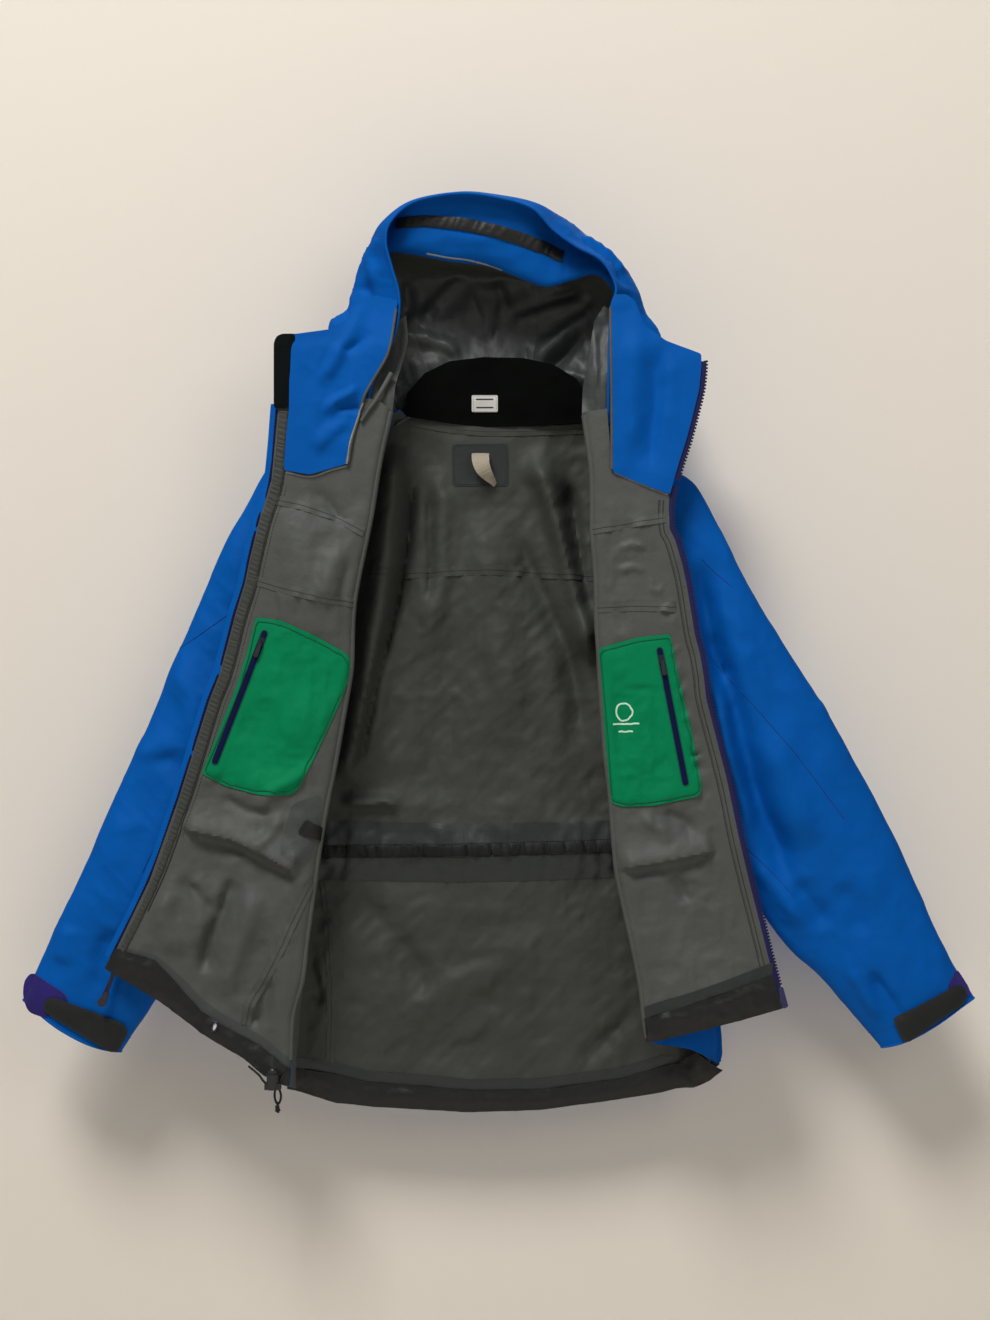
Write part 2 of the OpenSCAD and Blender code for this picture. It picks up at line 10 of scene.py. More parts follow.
import bmesh
import bpy
import numpy as np
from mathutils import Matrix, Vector

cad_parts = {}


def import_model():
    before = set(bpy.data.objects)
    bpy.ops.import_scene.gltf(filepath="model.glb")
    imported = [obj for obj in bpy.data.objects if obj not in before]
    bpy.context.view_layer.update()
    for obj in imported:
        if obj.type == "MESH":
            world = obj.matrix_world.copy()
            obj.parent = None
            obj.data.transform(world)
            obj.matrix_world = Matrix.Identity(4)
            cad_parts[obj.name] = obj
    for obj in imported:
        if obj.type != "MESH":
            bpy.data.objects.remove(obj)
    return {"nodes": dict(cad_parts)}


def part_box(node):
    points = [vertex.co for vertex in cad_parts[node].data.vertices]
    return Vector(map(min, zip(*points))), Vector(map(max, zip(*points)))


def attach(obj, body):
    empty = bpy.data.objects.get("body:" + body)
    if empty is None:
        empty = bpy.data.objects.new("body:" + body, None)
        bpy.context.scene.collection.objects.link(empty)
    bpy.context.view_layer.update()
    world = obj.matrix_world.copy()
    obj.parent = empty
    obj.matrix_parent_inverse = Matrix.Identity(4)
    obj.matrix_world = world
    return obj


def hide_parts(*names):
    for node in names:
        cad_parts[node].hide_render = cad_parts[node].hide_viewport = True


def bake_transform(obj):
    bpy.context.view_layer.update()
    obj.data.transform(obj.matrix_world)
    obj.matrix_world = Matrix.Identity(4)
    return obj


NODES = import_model()["nodes"]
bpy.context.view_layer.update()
MM = 0.001
EYE_X, EYE_Z, EYE_DISTANCE = 12.8, -223.0, 2300.0    # the camera, in front of the plane y = 0


# ---------------------------------------------------------------- numbers and curves
def arr(values):
    return np.asarray(values, float)


def unit(vectors):
    vectors = arr(vectors)
    return vectors / (np.linalg.norm(vectors, axis=-1, keepdims=True) + 1e-12)


def smooth(share):
    """A soft step from 0 to 1."""
    share = np.clip(share, 0, 1)
    return share * share * (3 - 2 * share)


@lru_cache(maxsize=None)
def noise_table(seed):
    return np.random.RandomState(seed + 11).rand(64, 64)


def value_noise(x, y, seed):
    """Smooth noise from -0.5 to 0.5 with a unit cell."""
    table = noise_table(seed)
    i, j = np.floor(x).astype(int), np.floor(y).astype(int)
    fx, fy = x - i, y - j
    fx = fx * fx * fx * (fx * (6 * fx - 15) + 10)
    fy = fy * fy * fy * (fy * (6 * fy - 15) + 10)
    low = table[i % 64, j % 64] * (1 - fx) + table[(i + 1) % 64, j % 64] * fx
    high = table[i % 64, (j + 1) % 64] * (1 - fx) + table[(i + 1) % 64, (j + 1) % 64] * fx
    return low * (1 - fy) + high * fy - 0.5


def wrinkles(x, z, size, height, seed, octaves=3, crease=False):
    """Layered noise; size is the cell in x and z, and crease gives sharp crests."""
    total, weight = 0, 1.0
    for k in range(octaves):
        value = value_noise(x / size[0] * 2 ** k + 7.3 * k, z / size[1] * 2 ** k - 3.1 * k, seed + k)
        if crease:
            value = (0.25 - np.abs(value)) * 1.6
        total = total + weight * value
        weight *= 0.5
    return total * height


def creases(x, z, size, height, seed, octaves=2):
    return wrinkles(x, z, size, height, seed, octaves, crease=True)


def rotated(x, z, degrees):
    angle = math.radians(degrees)
    return (x * math.cos(angle) + z * math.sin(angle),
            -x * math.sin(angle) + z * math.cos(angle))


def raised(path, dz):
    return [(x, z + dz) for x, z in path]


def scaled(points, centre, factor):
    return arr(centre) + (arr(points) - arr(centre)) * factor


def length(points):
    return float(np.linalg.norm(np.diff(arr(points), axis=0), axis=1).sum())


def even(points, count):
    """Points spaced evenly along a polyline."""
    points = arr(points)
    run = np.r_[0, np.cumsum(np.linalg.norm(np.diff(points, axis=0), axis=1))]
    stops = np.linspace(0, run[-1], count)
    return np.stack([np.interp(stops, run, column) for column in points.T], 1)


def hermite(t, start, leave, end, arrive):
    return ((2 * t**3 - 3 * t**2 + 1) * start + (t**3 - 2 * t**2 + t) * leave
            + (-2 * t**3 + 3 * t**2) * end + (t**3 - t**2) * arrive)


def padded(points):
    """The points with one more mirrored on at each end."""
    return np.vstack([2 * points[0] - points[1], points, 2 * points[-1] - points[-2]])


def smooth_line(points, count):
    """Points spaced evenly along a smooth curve through the given ones."""
    points = arr(points)
    if len(points) > 2:
        line = padded(points)
        share = np.linspace(0, 1, 9)[:-1, None]
        spans = []
        for before, start, end, after in zip(line, line[1:], line[2:], line[3:]):
            leave, arrive = (end - before) * 0.5, (after - start) * 0.5
            limit = 1.2 * np.linalg.norm(end - start)
            leave *= min(1, limit / (np.linalg.norm(leave) + 1e-9))
            arrive *= min(1, limit / (np.linalg.norm(arrive) + 1e-9))
            spans.append(hermite(share, start, leave, end, arrive))
        points = np.vstack(spans + [points[-1:]])
    return even(points, count)


def path_distance(x, z, path):
    """Distance to a polyline, share of its length, and signed distance (left positive)."""
    path = arr(path)
    spans = np.linalg.norm(np.diff(path, axis=0), axis=1)
    run = np.r_[0, np.cumsum(spans)]
    best = np.full(x.shape, 1e18)
    share, side = np.zeros(x.shape), np.ones(x.shape)
    for i in range(len(path) - 1):
        start, step = path[i], path[i + 1] - path[i]
        t = np.clip(((x - start[0]) * step[0] + (z - start[1]) * step[1])
                    / (step @ step + 1e-9), 0, 1)
        dx, dz = x - start[0] - t * step[0], z - start[1] - t * step[1]
        square = dx * dx + dz * dz
        closer = square < best
        best = np.where(closer, square, best)
        share = np.where(closer, (run[i] + t * spans[i]) / run[-1], share)
        side = np.where(closer, np.sign(step[0] * dz - step[1] * dx), side)
    distance = np.sqrt(best)
    return distance, share, side * distance


def ridge(x, z, path, width, height, ends=0.2, right_width=None):
    """A rounded fold along path that fades over the end share of its length.

    right_width makes the right side of the path steeper or softer than the left.
    """
    distance, share, signed = path_distance(x, z, path)
    widths = np.where(signed >= 0, width, width if right_width is None else right_width)
    fade = smooth(share / ends) * smooth((1 - share) / ends)
    beyond = (distance * distance - signed * signed).clip(0)
    return height * np.exp(-(signed / widths) ** 2) * np.exp(-beyond / 30) * fade


def folds(x, z, table):
    """The sum of a table of folds: (path, width, height, end share, right width)."""
    return sum(ridge(x, z, *row) for row in table)


def box_mask(x, z, x0, x1, z0, z1, soft):
    return (smooth((x - x0) / soft) * smooth((x1 - x) / soft)
            * smooth((z - z0) / soft) * smooth((z1 - z) / soft))


# ---------------------------------------------------------------- shader helpers
def linear(rgb):
    """8-bit sRGB as linear channels."""
    return [channel / 255 / 12.92 if channel / 255 <= 0.04045
            else ((channel / 255 + 0.055) / 1.055) ** 2.4 for channel in rgb]


def tint(channels, gain, lift=0.0):
    return [min(1, channel * gain + lift) for channel in channels] + [1]


def new_material(name):
    material = bpy.data.materials.new(name)
    material.use_nodes = True
    return material, material.node_tree, material.node_tree.nodes["Principled BSDF"]


def set_inputs(tree, node, inputs):
    """Give each input its value, or its link where the value is a socket."""
    for key, value in inputs.items():
        if isinstance(value, bpy.types.NodeSocket):
            tree.links.new(value, node.inputs[key])
        else:
            node.inputs[key].default_value = value


def add_node(tree, kind, inputs, **properties):
    node = tree.nodes.new(kind)
    for key, value in properties.items():
        setattr(node, key, value)
    set_inputs(tree, node, inputs)
    return node


def fabric(name, rgb, rough=0.7, sheen=0.15, vary=0.10, weave=0.25, crinkle=0.25, shine=0.25,
           pitch=0.9, speckle=1500):
    """Woven cloth.

    vary is the colour contrast, weave and crinkle the bump strengths, shine the specular
    level, pitch the thread spacing in mm and speckle the scale of the fine colour noise.
    """
    material, tree, shader = new_material(name)
    base = linear(rgb)
    coords = add_node(tree, "ShaderNodeTexCoord", {}).outputs["Object"]
    patches = add_node(tree, "ShaderNodeTexNoise", {"Scale": 14, "Detail": 5, "Vector": coords})
    specks = add_node(tree, "ShaderNodeTexNoise", {"Scale": speckle, "Detail": 2, "Vector": coords})
    color = add_node(tree, "ShaderNodeMix", {"A": tint(base, 1 - vary),
                                             "B": tint(base, 1 + vary, 0.002 * vary)},
                     data_type="RGBA")
    blend = add_node(tree, "ShaderNodeMath", {0: specks.outputs["Fac"], 1: 0.5},
                     operation="MULTIPLY_ADD")
    contrast = add_node(tree, "ShaderNodeMath", {0: patches.outputs["Fac"], 1: 1.6, 2: -0.55},
                        operation="MULTIPLY_ADD")
    tree.links.new(contrast.outputs[0], blend.inputs[2])
    tree.links.new(blend.outputs[0], color.inputs["Factor"])
    roughness = add_node(tree, "ShaderNodeMapRange", {
        "To Min": max(0.05, rough - 0.08), "To Max": min(1, rough + 0.08),
        "Value": patches.outputs["Fac"]})
    # two crossed sets of threads
    wave_scale = 2 * math.pi / (20 * pitch * MM)
    threads = [add_node(tree, "ShaderNodeTexWave",
                        {"Scale": wave_scale, "Distortion": 0.6, "Vector": coords},
                        bands_direction=axis) for axis in ("X", "Z")]
    crossing = add_node(tree, "ShaderNodeMath",
                        {0: threads[0].outputs["Fac"], 1: threads[1].outputs["Fac"]},
                        operation="MULTIPLY")
    weave_bump = add_node(tree, "ShaderNodeBump", {"Strength": weave, "Distance": 0.00012,
                                                   "Height": crossing.outputs[0]})
    crumple = add_node(tree, "ShaderNodeTexNoise", {"Scale": 75, "Detail": 5, "Roughness": 0.55,
                                                    "Vector": coords})
    crinkle_bump = add_node(tree, "ShaderNodeBump", {
        "Strength": crinkle, "Distance": 0.003, "Height": crumple.outputs["Fac"],
        "Normal": weave_bump.outputs["Normal"]})
    shader.inputs["Roughness"].default_value = rough
    set_inputs(tree, shader, {
        "Base Color": color.outputs["Result"], "Roughness": roughness.outputs["Result"],
        "Specular IOR Level": shine, "Sheen Weight": sheen, "Sheen Roughness": 0.5,
        "Sheen Tint": tint(base, 2, 0.2), "Normal": crinkle_bump.outputs["Normal"]})
    return material


def hard(name, rgb, rough=0.35, metal=0.0, bump=0.1, scale=400, shine=0.5):
    """Plastic, rubber or metal with a fine grain (scale) and paler worn edges."""
    material, tree, shader = new_material(name)
    base = linear(rgb)
    coords = add_node(tree, "ShaderNodeTexCoord", {}).outputs["Object"]
    grain = add_node(tree, "ShaderNodeTexNoise", {"Scale": scale, "Detail": 4, "Vector": coords})
    color = add_node(tree, "ShaderNodeMix", {
        "A": tint(base, 0.85), "B": tint(base, 1.15, 0.004), "Factor": grain.outputs["Fac"]},
        data_type="RGBA")
    geometry = add_node(tree, "ShaderNodeNewGeometry", {})
    edges = add_node(tree, "ShaderNodeMapRange", {
        "From Min": 0.5, "From Max": 0.62, "To Max": 0.35,
        "Value": geometry.outputs["Pointiness"]})
    worn = add_node(tree, "ShaderNodeMix", {
        "Factor": edges.outputs["Result"], "A": color.outputs["Result"],
        "B": tint(base, 1.6, 0.03)}, data_type="RGBA")
    roughness = add_node(tree, "ShaderNodeMapRange", {
        "To Min": max(0.05, rough - 0.1), "To Max": min(1, rough + 0.12),
        "Value": grain.outputs["Fac"]})
    relief = add_node(tree, "ShaderNodeBump", {"Strength": bump, "Distance": 0.0002,
                                               "Height": grain.outputs["Fac"]})
    shader.inputs["Roughness"].default_value = rough
    set_inputs(tree, shader, {
        "Base Color": worn.outputs["Result"], "Roughness": roughness.outputs["Result"],
        "Metallic": metal, "Specular IOR Level": shine, "Normal": relief.outputs["Normal"]})
    return material


def thread(name, rgb):
    return fabric(name, rgb, rough=0.6, sheen=0.1, vary=0.1, weave=0.6, crinkle=0.1)


# ---------------------------------------------------------------- materials
BLUE = fabric("shell_blue_weave", (0, 84, 168), rough=0.66, sheen=0.0, vary=0.07, weave=0.25,
              crinkle=0.16, shine=0.07, pitch=1.0)
LINING = fabric("lining_grey_tricot", (77, 80, 78), rough=0.58, sheen=0.03, vary=0.12, weave=0.22,
                crinkle=0.36, shine=0.26, pitch=0.8)
# A darker copy of the grey lining: painted shade for the shaded inside of the back, also used on the
# storm flap and next to the hood brim.
LINING_PAINTED_SHADE = fabric("lining_grey_painted_shade", (59, 62, 58), rough=0.6, sheen=0.02, vary=0.12,
                     weave=0.22, crinkle=0.3, shine=0.24, pitch=0.8)
# A still darker copy of the grey lining: painted shade for the inside of the hood and the left neck
# fold.
LINING_DEEP_PAINTED_SHADE = fabric("lining_grey_deep_painted_shade", (56, 60, 60), rough=0.5, sheen=0.02, vary=0.14, weave=0.2,
                     crinkle=0.35, shine=0.35, pitch=0.8)
# The bonded tape film, darkened as painted shade to match the shaded back; the seam_tape_light copy
# on the right front is left lighter.
TAPE = fabric("seam_tape_film_painted_shade", (38, 43, 44), rough=0.42, sheen=0.0, vary=0.08, weave=0.12,
              crinkle=0.2, shine=0.45, pitch=0.8)
HEM = fabric("hem_black_taffeta", (19, 21, 21), rough=0.45, sheen=0.02, vary=0.15, weave=0.25,
             crinkle=0.35, shine=0.4, pitch=0.8)
FLEECE = fabric("fleece_black", (13, 17, 18), rough=0.95, sheen=0.06, vary=0.3, weave=0.5,
                crinkle=0.5, shine=0.05, pitch=1.4, speckle=900)
NAPE = fabric("nape_black_brushed", (5, 7, 6), rough=0.95, sheen=0.02, vary=0.3, weave=0.4,
              crinkle=0.3, shine=0.05, pitch=1.2, speckle=900)
GREEN = fabric("pocket_green_weave", (0, 124, 79), rough=0.66, sheen=0.0, vary=0.06, weave=0.3,
               crinkle=0.16, shine=0.08, pitch=0.8)
PURPLE = fabric("zip_tape_purple", (25, 21, 78), rough=0.6, sheen=0.1, vary=0.15, weave=0.6,
                crinkle=0.1, shine=0.25, pitch=1.1)
NAVY = fabric("coil_zip_navy", (4, 14, 58), rough=0.6, sheen=0.0, vary=0.15, weave=0.8,
              crinkle=0.1, shine=0.12, pitch=1.5)
HOOK_TAPE = fabric("hook_tape_purple", (44, 36, 104), rough=0.95, sheen=0.5, vary=0.4, weave=0.8,
                   crinkle=0.5, shine=0.05, pitch=1.4, speckle=700)
WEBBING = fabric("loop_webbing_beige", (158, 150, 134), rough=0.75, sheen=0.2, vary=0.12,
                 weave=1.0, crinkle=0.15, shine=0.2, pitch=2.2)
LABEL = fabric("label_woven_white", (206, 206, 204), rough=0.7, sheen=0.1, vary=0.04, weave=0.4,
               crinkle=0.1, shine=0.2, pitch=0.7)
LIGHT_TAPE = fabric("seam_tape_light", (62, 66, 65), rough=0.45, sheen=0.0, vary=0.10,
                    weave=0.12, crinkle=0.3, shine=0.4, pitch=0.8)
GLUE = fabric("seam_glue_edge", (128, 130, 127), rough=0.5, sheen=0.0, vary=0.35, weave=0.1,
              crinkle=0.6, shine=0.4)
BLUE_THREAD = thread("thread_blue", (0, 66, 138))
GREY_THREAD = thread("thread_grey", (52, 53, 51))
GREEN_THREAD = thread("thread_green", (0, 100, 64))
PRINT = fabric("print_pale", (196, 232, 212), rough=0.5, sheen=0.0, vary=0.03, weave=0.1,
               crinkle=0.05)
CORD = fabric("cord_black_braid", (20, 22, 24), rough=0.6, sheen=0.15, vary=0.3, weave=1.0,
              crinkle=0.2, pitch=1.2)
LOCK = hard("lock_black_plastic", (16, 17, 18), rough=0.35, bump=0.25)
SLIDER = hard("slider_dark_metal", (44, 42, 62), rough=0.32, metal=0.6, bump=0.12)
PULL = hard("pull_dark_rubber", (16, 18, 34), rough=0.4, bump=0.3)
TEETH = hard("teeth_purple_resin", (16, 14, 54), rough=0.5, bump=0.1, shine=0.15)
DARK_TEETH = hard("teeth_dark_resin", (14, 14, 30), rough=0.5, bump=0.1, shine=0.15)
TAB = hard("tab_black_rubber", (20, 23, 24), rough=0.62, bump=0.5, scale=900, shine=0.3)
PIN = hard("pin_dark_resin", (34, 36, 84), rough=0.3, bump=0.1)

# the faces of a sheet: where its normal points, behind, and rim
LINED = [LINING, BLUE, LINING]
# the back's sheets, with their lining faces in the painted-shade copy of the lining
LINED_PAINTED_SHADE = [LINING_PAINTED_SHADE, BLUE, LINING_PAINTED_SHADE]
LINED_OUT = [BLUE, LINING, BLUE]


# ---------------------------------------------------------------- mesh building
def register(obj, place, replaces=None):
    """place is the body the piece rides on, or a function that bakes its transform.
    """
    if callable(place):
        place(obj)
    else:
        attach(obj, place)
    if replaces:
        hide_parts(replaces)


def make(name, verts, faces, materials, face_slots=None, sharp=50):
    mesh = bpy.data.meshes.new(name)
    mesh.from_pydata([tuple(vert) for vert in arr(verts) * MM], [],
                     [tuple(int(i) for i in face) for face in faces])
    for material in materials:
        mesh.materials.append(material)
    if face_slots is not None:
        mesh.polygons.foreach_set("material_index", np.asarray(face_slots, np.int32))
    mesh.polygons.foreach_set("use_smooth", np.ones(len(mesh.polygons), bool))
    mesh.update()
    mesh.set_sharp_from_angle(angle=math.radians(sharp))
    obj = bpy.data.objects.new(name, mesh)
    bpy.context.scene.collection.objects.link(obj)
    return obj


def make_closed(name, verts, faces, material, sharp=60):
    """A closed mesh of one material, with its normals turned outwards."""
    obj = make(name, verts, faces, [material], sharp=sharp)
    mesh = bmesh.new()
    mesh.from_mesh(obj.data)
    bmesh.ops.recalc_face_normals(mesh, faces=mesh.faces[:])
    mesh.to_mesh(obj.data)
    mesh.free()
    return obj


def quad_edges(faces):
    return np.vstack([faces[:, [k, (k + 1) % 4]] for k in range(4)])


def rim_edges(faces):
    """The edges that belong to one face only."""
    edges = quad_edges(faces)
    ends = np.sort(edges, 1)
    keys = ends[:, 0].astype(np.int64) * 10000000 + ends[:, 1]
    _, inverse, counts = np.unique(keys, return_inverse=True, return_counts=True)
    return edges[counts[inverse] == 1]


def solid(name, verts, faces, thickness, materials, front_slots=None, back=None):
    """A thin closed sheet round a mid-surface of quads, or from it to the given back."""
    corners = verts[faces]
    face_normals = np.cross(corners[:, 2] - corners[:, 0], corners[:, 3] - corners[:, 1])
    normals = np.zeros_like(verts)
    for k in range(4):
        np.add.at(normals, faces[:, k], face_normals)
    normals = unit(normals)
    if back is None:
        back = verts - normals * thickness / 2
    count = len(verts)
    edges = rim_edges(faces)
    rim = np.stack([edges[:, 1], edges[:, 0], edges[:, 0] + count, edges[:, 1] + count], 1)
    if front_slots is None:
        front_slots = np.zeros(len(faces), int)
    slots = np.r_[front_slots, np.ones(len(faces), int), np.full(len(rim), 2)]
    if not isinstance(materials, list):
        materials = [materials] * 3
    return make(name, np.vstack([verts + normals * thickness / 2, back]),
                np.vstack([faces, faces[:, ::-1] + count, rim]), materials, slots)


def grid_faces(rows, columns, wrap=False):
    i = np.arange(rows - 1)[:, None]
    j = np.arange(columns if wrap else columns - 1)[None, :]
    near = i * columns + j
    far = i * columns + (j + 1) % columns
    return np.stack([near, far, far + columns, near + columns], -1).reshape(-1, 4)


def sheet(name, grid, thickness, materials, place, slot, replaces=None, flip=False, wrap=False,
          front_slots=None):
    faces = grid_faces(*grid.shape[:2], wrap)
    if flip:
        faces = faces[:, ::-1]
    obj = solid(name, grid.reshape(-1, 3), faces, thickness, materials, front_slots)
    register(obj, place, replaces)


def inside(outline, x, z):
    outline = arr(outline)
    result = np.zeros(x.shape, bool)
    for (x1, z1), (x2, z2) in zip(outline, np.roll(outline, -1, axis=0)):
        if z1 == z2:
            continue
        spans = (z1 > z) != (z2 > z)
        result ^= spans & (x < (x2 - x1) * (z - z1) / (z2 - z1) + x1)
    return result


def nearest(outline, points):
    """The closest place on a closed outline to each point."""
    outline = arr(outline)
    best, result = np.full(len(points), 1e18), points.copy()
    for start, end in zip(outline, np.roll(outline, -1, axis=0)):
        step = end - start
        t = np.clip(((points - start) @ step) / (step @ step + 1e-9), 0, 1)
        place = start + t[:, None] * step
        square = ((points - place) ** 2).sum(1)
        closer = square < best
        best[closer], result[closer] = square[closer], place[closer]
    return result


def fill(outline, cell):
    """Quads that fill a flat outline, with their outer points drawn onto it."""
    outline = arr(outline)
    low, high = outline.min(0) - cell * 0.37, outline.max(0) + cell
    columns, rows = (int(span / cell) + 1 for span in high - low)
    xs, zs = low[0] + np.arange(columns + 1) * cell, low[1] + np.arange(rows + 1) * cell
    row, column = np.nonzero(inside(outline, *np.meshgrid(xs[:-1] + cell / 2, zs[:-1] + cell / 2)))
    wide = columns + 1
    corner = row * wide + column
    faces = np.stack([corner, corner + 1, corner + wide + 1, corner + wide], 1)
    used, inverse = np.unique(faces, return_inverse=True)
    faces = inverse.reshape(faces.shape)
    verts = np.stack([xs[used % wide], zs[used // wide]], 1)

    # draw the rim onto the outline and even it out along it
    edges = rim_edges(faces)
    rim = np.unique(edges)
    after = dict(edges.tolist())
    before = {end: start for start, end in after.items()}
    for _ in range(2):
        verts[rim] = nearest(outline, verts[rim])
        middle = np.array([(verts[after[i]] + verts[before[i]]) / 2
                           if i in after and i in before else verts[i] for i in rim])
        verts[rim] = verts[rim] * 0.6 + middle * 0.4
    verts[rim] = nearest(outline, verts[rim])

    # put a rim point on every marked corner of the outline
    for i, point in enumerate(outline):
        arrive, leave = point - outline[i - 1], outline[(i + 1) % len(outline)] - point
        cosine = (arrive @ leave) / (np.linalg.norm(arrive) * np.linalg.norm(leave) + 1e-9)
        if cosine < 0.85:
            verts[rim[np.argmin(((verts[rim] - point) ** 2).sum(1))]] = point

    # relax the inner points
    count = len(verts)
    inner = np.setdiff1d(np.arange(count), rim)
    edges = quad_edges(faces)
    for _ in range(3):
        total, links = np.zeros((count, 2)), np.zeros(count)
        for here, there in (edges.T, edges.T[::-1]):
            np.add.at(total, here, verts[there])
            np.add.at(links, here, 1)
        verts[inner] = verts[inner] * 0.5 + (total[inner] / links[inner][:, None]) * 0.5
    return verts, faces


def rounded(outline, radius, steps=5):
    """The outline with its corners rounded."""
    outline = arr(outline)
    result = []
    t = np.linspace(0, 1, steps)[:, None]
    for i, corner in enumerate(outline):
        back, ahead = outline[i - 1] - corner, outline[(i + 1) % len(outline)] - corner
        back_length, ahead_length = np.linalg.norm(back), np.linalg.norm(ahead)
        cut = min(radius, back_length * 0.45, ahead_length * 0.45)
        start, end = corner + back / back_length * cut, corner + ahead / ahead_length * cut
        result.append((1 - t) ** 2 * start + 2 * t * (1 - t) * corner + t * t * end)
    return np.vstack(result)


def plate(name, outline, surface, material, place, slot, replaces=None, *, thickness, cell,
          lift=0.0, dome=0.0, outer=None):
    """A sheet over an outline that follows a surface, lifted towards the viewer.

    dome swells it away from its rim; outer is a separate surface for its far face.
    """
    flat_verts, faces = fill(outline, cell)
    x, z = flat_verts.T
    y = surface(x, z) - lift
    if dome:
        inset = np.linalg.norm(nearest(outline, flat_verts) - flat_verts, axis=1)
        y = y - dome * smooth(inset / (4 * cell))
    back = np.c_[x, outer(x, z), z] if outer else None
    obj = solid(name, np.c_[x, y, z], faces, thickness, material, back=back)
    register(obj, place, replaces)


def surface_path(path, surface, count=None, lift=0.0):
    """Points of a line laid on a surface, and the normals there towards the viewer."""
    x, z = smooth_line(path, count or max(3, int(length(path) / 3.0) + 1)).T
    reach = 0.5
    slope_x = (surface(x + reach, z) - surface(x - reach, z)) / (2 * reach)
    slope_z = (surface(x, z + reach) - surface(x, z - reach)) / (2 * reach)
    normals = unit(np.stack([slope_x, -np.ones_like(slope_x), slope_z], 1))
    return np.c_[x, surface(x, z), z] + normals * lift, normals


def loft_faces(rings, sides, first=0):
    """Faces of a capped tube whose vertices start at index first."""
    faces = [[first + i for i in face] for face in grid_faces(rings, sides, wrap=True)]
    faces.append([first + j for j in range(sides)][::-1])
    faces.append([first + (rings - 1) * sides + j for j in range(sides)])
    return faces


def make_loft(name, rings, material):
    return make_closed(name, rings.reshape(-1, 3), loft_faces(*rings.shape[:2]), material)


def ribbon(name, points, normals, width, thickness, material, place, slot, replaces=None,
           arch=0.35, gathers=None, uneven=False, columns=7):
    """A low rounded band along points, with its top towards normals.

    arch is the share of the thickness that is rounded; gathers is (height, phase step).
    """
    points = arr(points)
    tangents = unit(np.gradient(points, axis=0))
    across = unit(np.cross(tangents, arr(normals)))[:, None]
    up = np.cross(across[:, 0], tangents)[:, None]
    u = np.linspace(-1, 1, columns)
    half_width = (width * np.ones(len(points)) / 2)[:, None, None]
    height = thickness * (1 - arch + arch * (1 - np.abs(u) ** 3)) * np.ones((len(points), 1))
    if gathers:
        step = np.arange(len(points))[:, None]
        phase, size = step * gathers[1] + 1.3 * u, 0.7
        if uneven:
            phase = phase + 5.0 * value_noise(step * 0.10, gathers[1], 77)
            size = size + 1.2 * value_noise(step * 0.23, 3.7, 78)
        height = height + gathers[0] * size * np.sin(phase) * (1 - u * u * 0.6)
    side = u[None, :, None] * half_width * across
    top = points[:, None] + side + height[..., None] * up
    bottom = points[:, None] + side[:, ::-1] - 0.15 * thickness * up
    obj = make_loft(name, np.concatenate([top, bottom], 1), material)
    register(obj, place, replaces)


def band(name, path, surface, width, thickness, material, place, slot, replaces=None, lift=0.0,
         count=None, **shape):
    """A ribbon laid on a surface; width may be a function of the number of points."""
    points, normals = surface_path(path, surface, count, lift)
    if callable(width):
        width = width(len(points))
    ribbon(name, points, normals, width, thickness, material, place, slot, replaces, **shape)


def ragged(least, spread, step, seed):
    """An uneven band width."""
    return lambda count: least + spread * np.abs(value_noise(np.arange(count) * step, 0.0, seed))


FINE = dict(arch=0.8, columns=5)      # the section of threads and bond lines


def rod(name, points, radius, material, place, sides=10):
    points = arr(points)
    tangents = unit(np.gradient(points, axis=0))
    across = np.cross(tangents, arr((0, 1, 0)))
    along_y = np.linalg.norm(across, axis=1) < 0.1
    across[along_y] = np.cross(tangents[along_y], arr((1, 0, 0.3)))
    across = unit(across)
    up = np.cross(across, tangents)
    angle = np.linspace(0, 2 * math.pi, sides, endpoint=False)[None, :, None]
    radii = (radius * np.ones(len(points)))[:, None, None]
    ring = np.cos(angle) * across[:, None] + np.sin(angle) * up[:, None]
    register(make_loft(name, points[:, None] + radii * ring, material), place)


def stitches(name, points, normals, material, place, slot, long=2.4, gap=1.4, wide=0.55,
             high=0.35):
    """A row of separate stitches along a line."""
    count = max(1, int(length(points) / (long + gap)))
    stops = even(points, 2 * count + 1)
    ups = even(np.hstack([points, normals]), 2 * count + 1)[:, 3:]
    profile = [(-1, -0.2), (-1, 0.35), (-0.45, 1), (0.45, 1), (1, 0.35), (1, -0.2)]
    stations = ((0, 0.25), (0.2, 1), (0.8, 1), (1, 0.25))      # share of length, fullness
    verts, faces = [], []
    for start, end, up in zip(stops[:-1:2], stops[1::2], ups[:-1:2]):
        along = unit(end - start)
        side = unit(np.cross(along, up))
        faces += loft_faces(len(stations), len(profile), len(verts))
        for share, full in stations:
            centre = start + along * long * share
            verts += [centre + side * a * wide / 2 * (0.4 + 0.6 * full) + up * b * high * full
                      for a, b in profile]
    register(make_closed(name, verts, faces, material), place)


def stitch_row(name, path, surface, material, place, slot, lift, count=None, **size):
    points, normals = surface_path(path, surface, count, lift)
    stitches(name, points, normals, material, place, slot, **size)


def seam_tape(name, path, surface, place, material, line_material, width, thickness, lift,
              line_lift):
    """A bonded tape on the inside of a seam, with a fine line standing on it."""
    points, normals = surface_path(path, surface, lift=lift)
    ribbon(name, points, normals, width, thickness, material, place, "lining_grey", arch=0.15)
    ribbon(name + "_line", points + normals * line_lift, normals, 0.9, 0.45, line_material,
           place, "lining_grey", arch=0.9, columns=5)


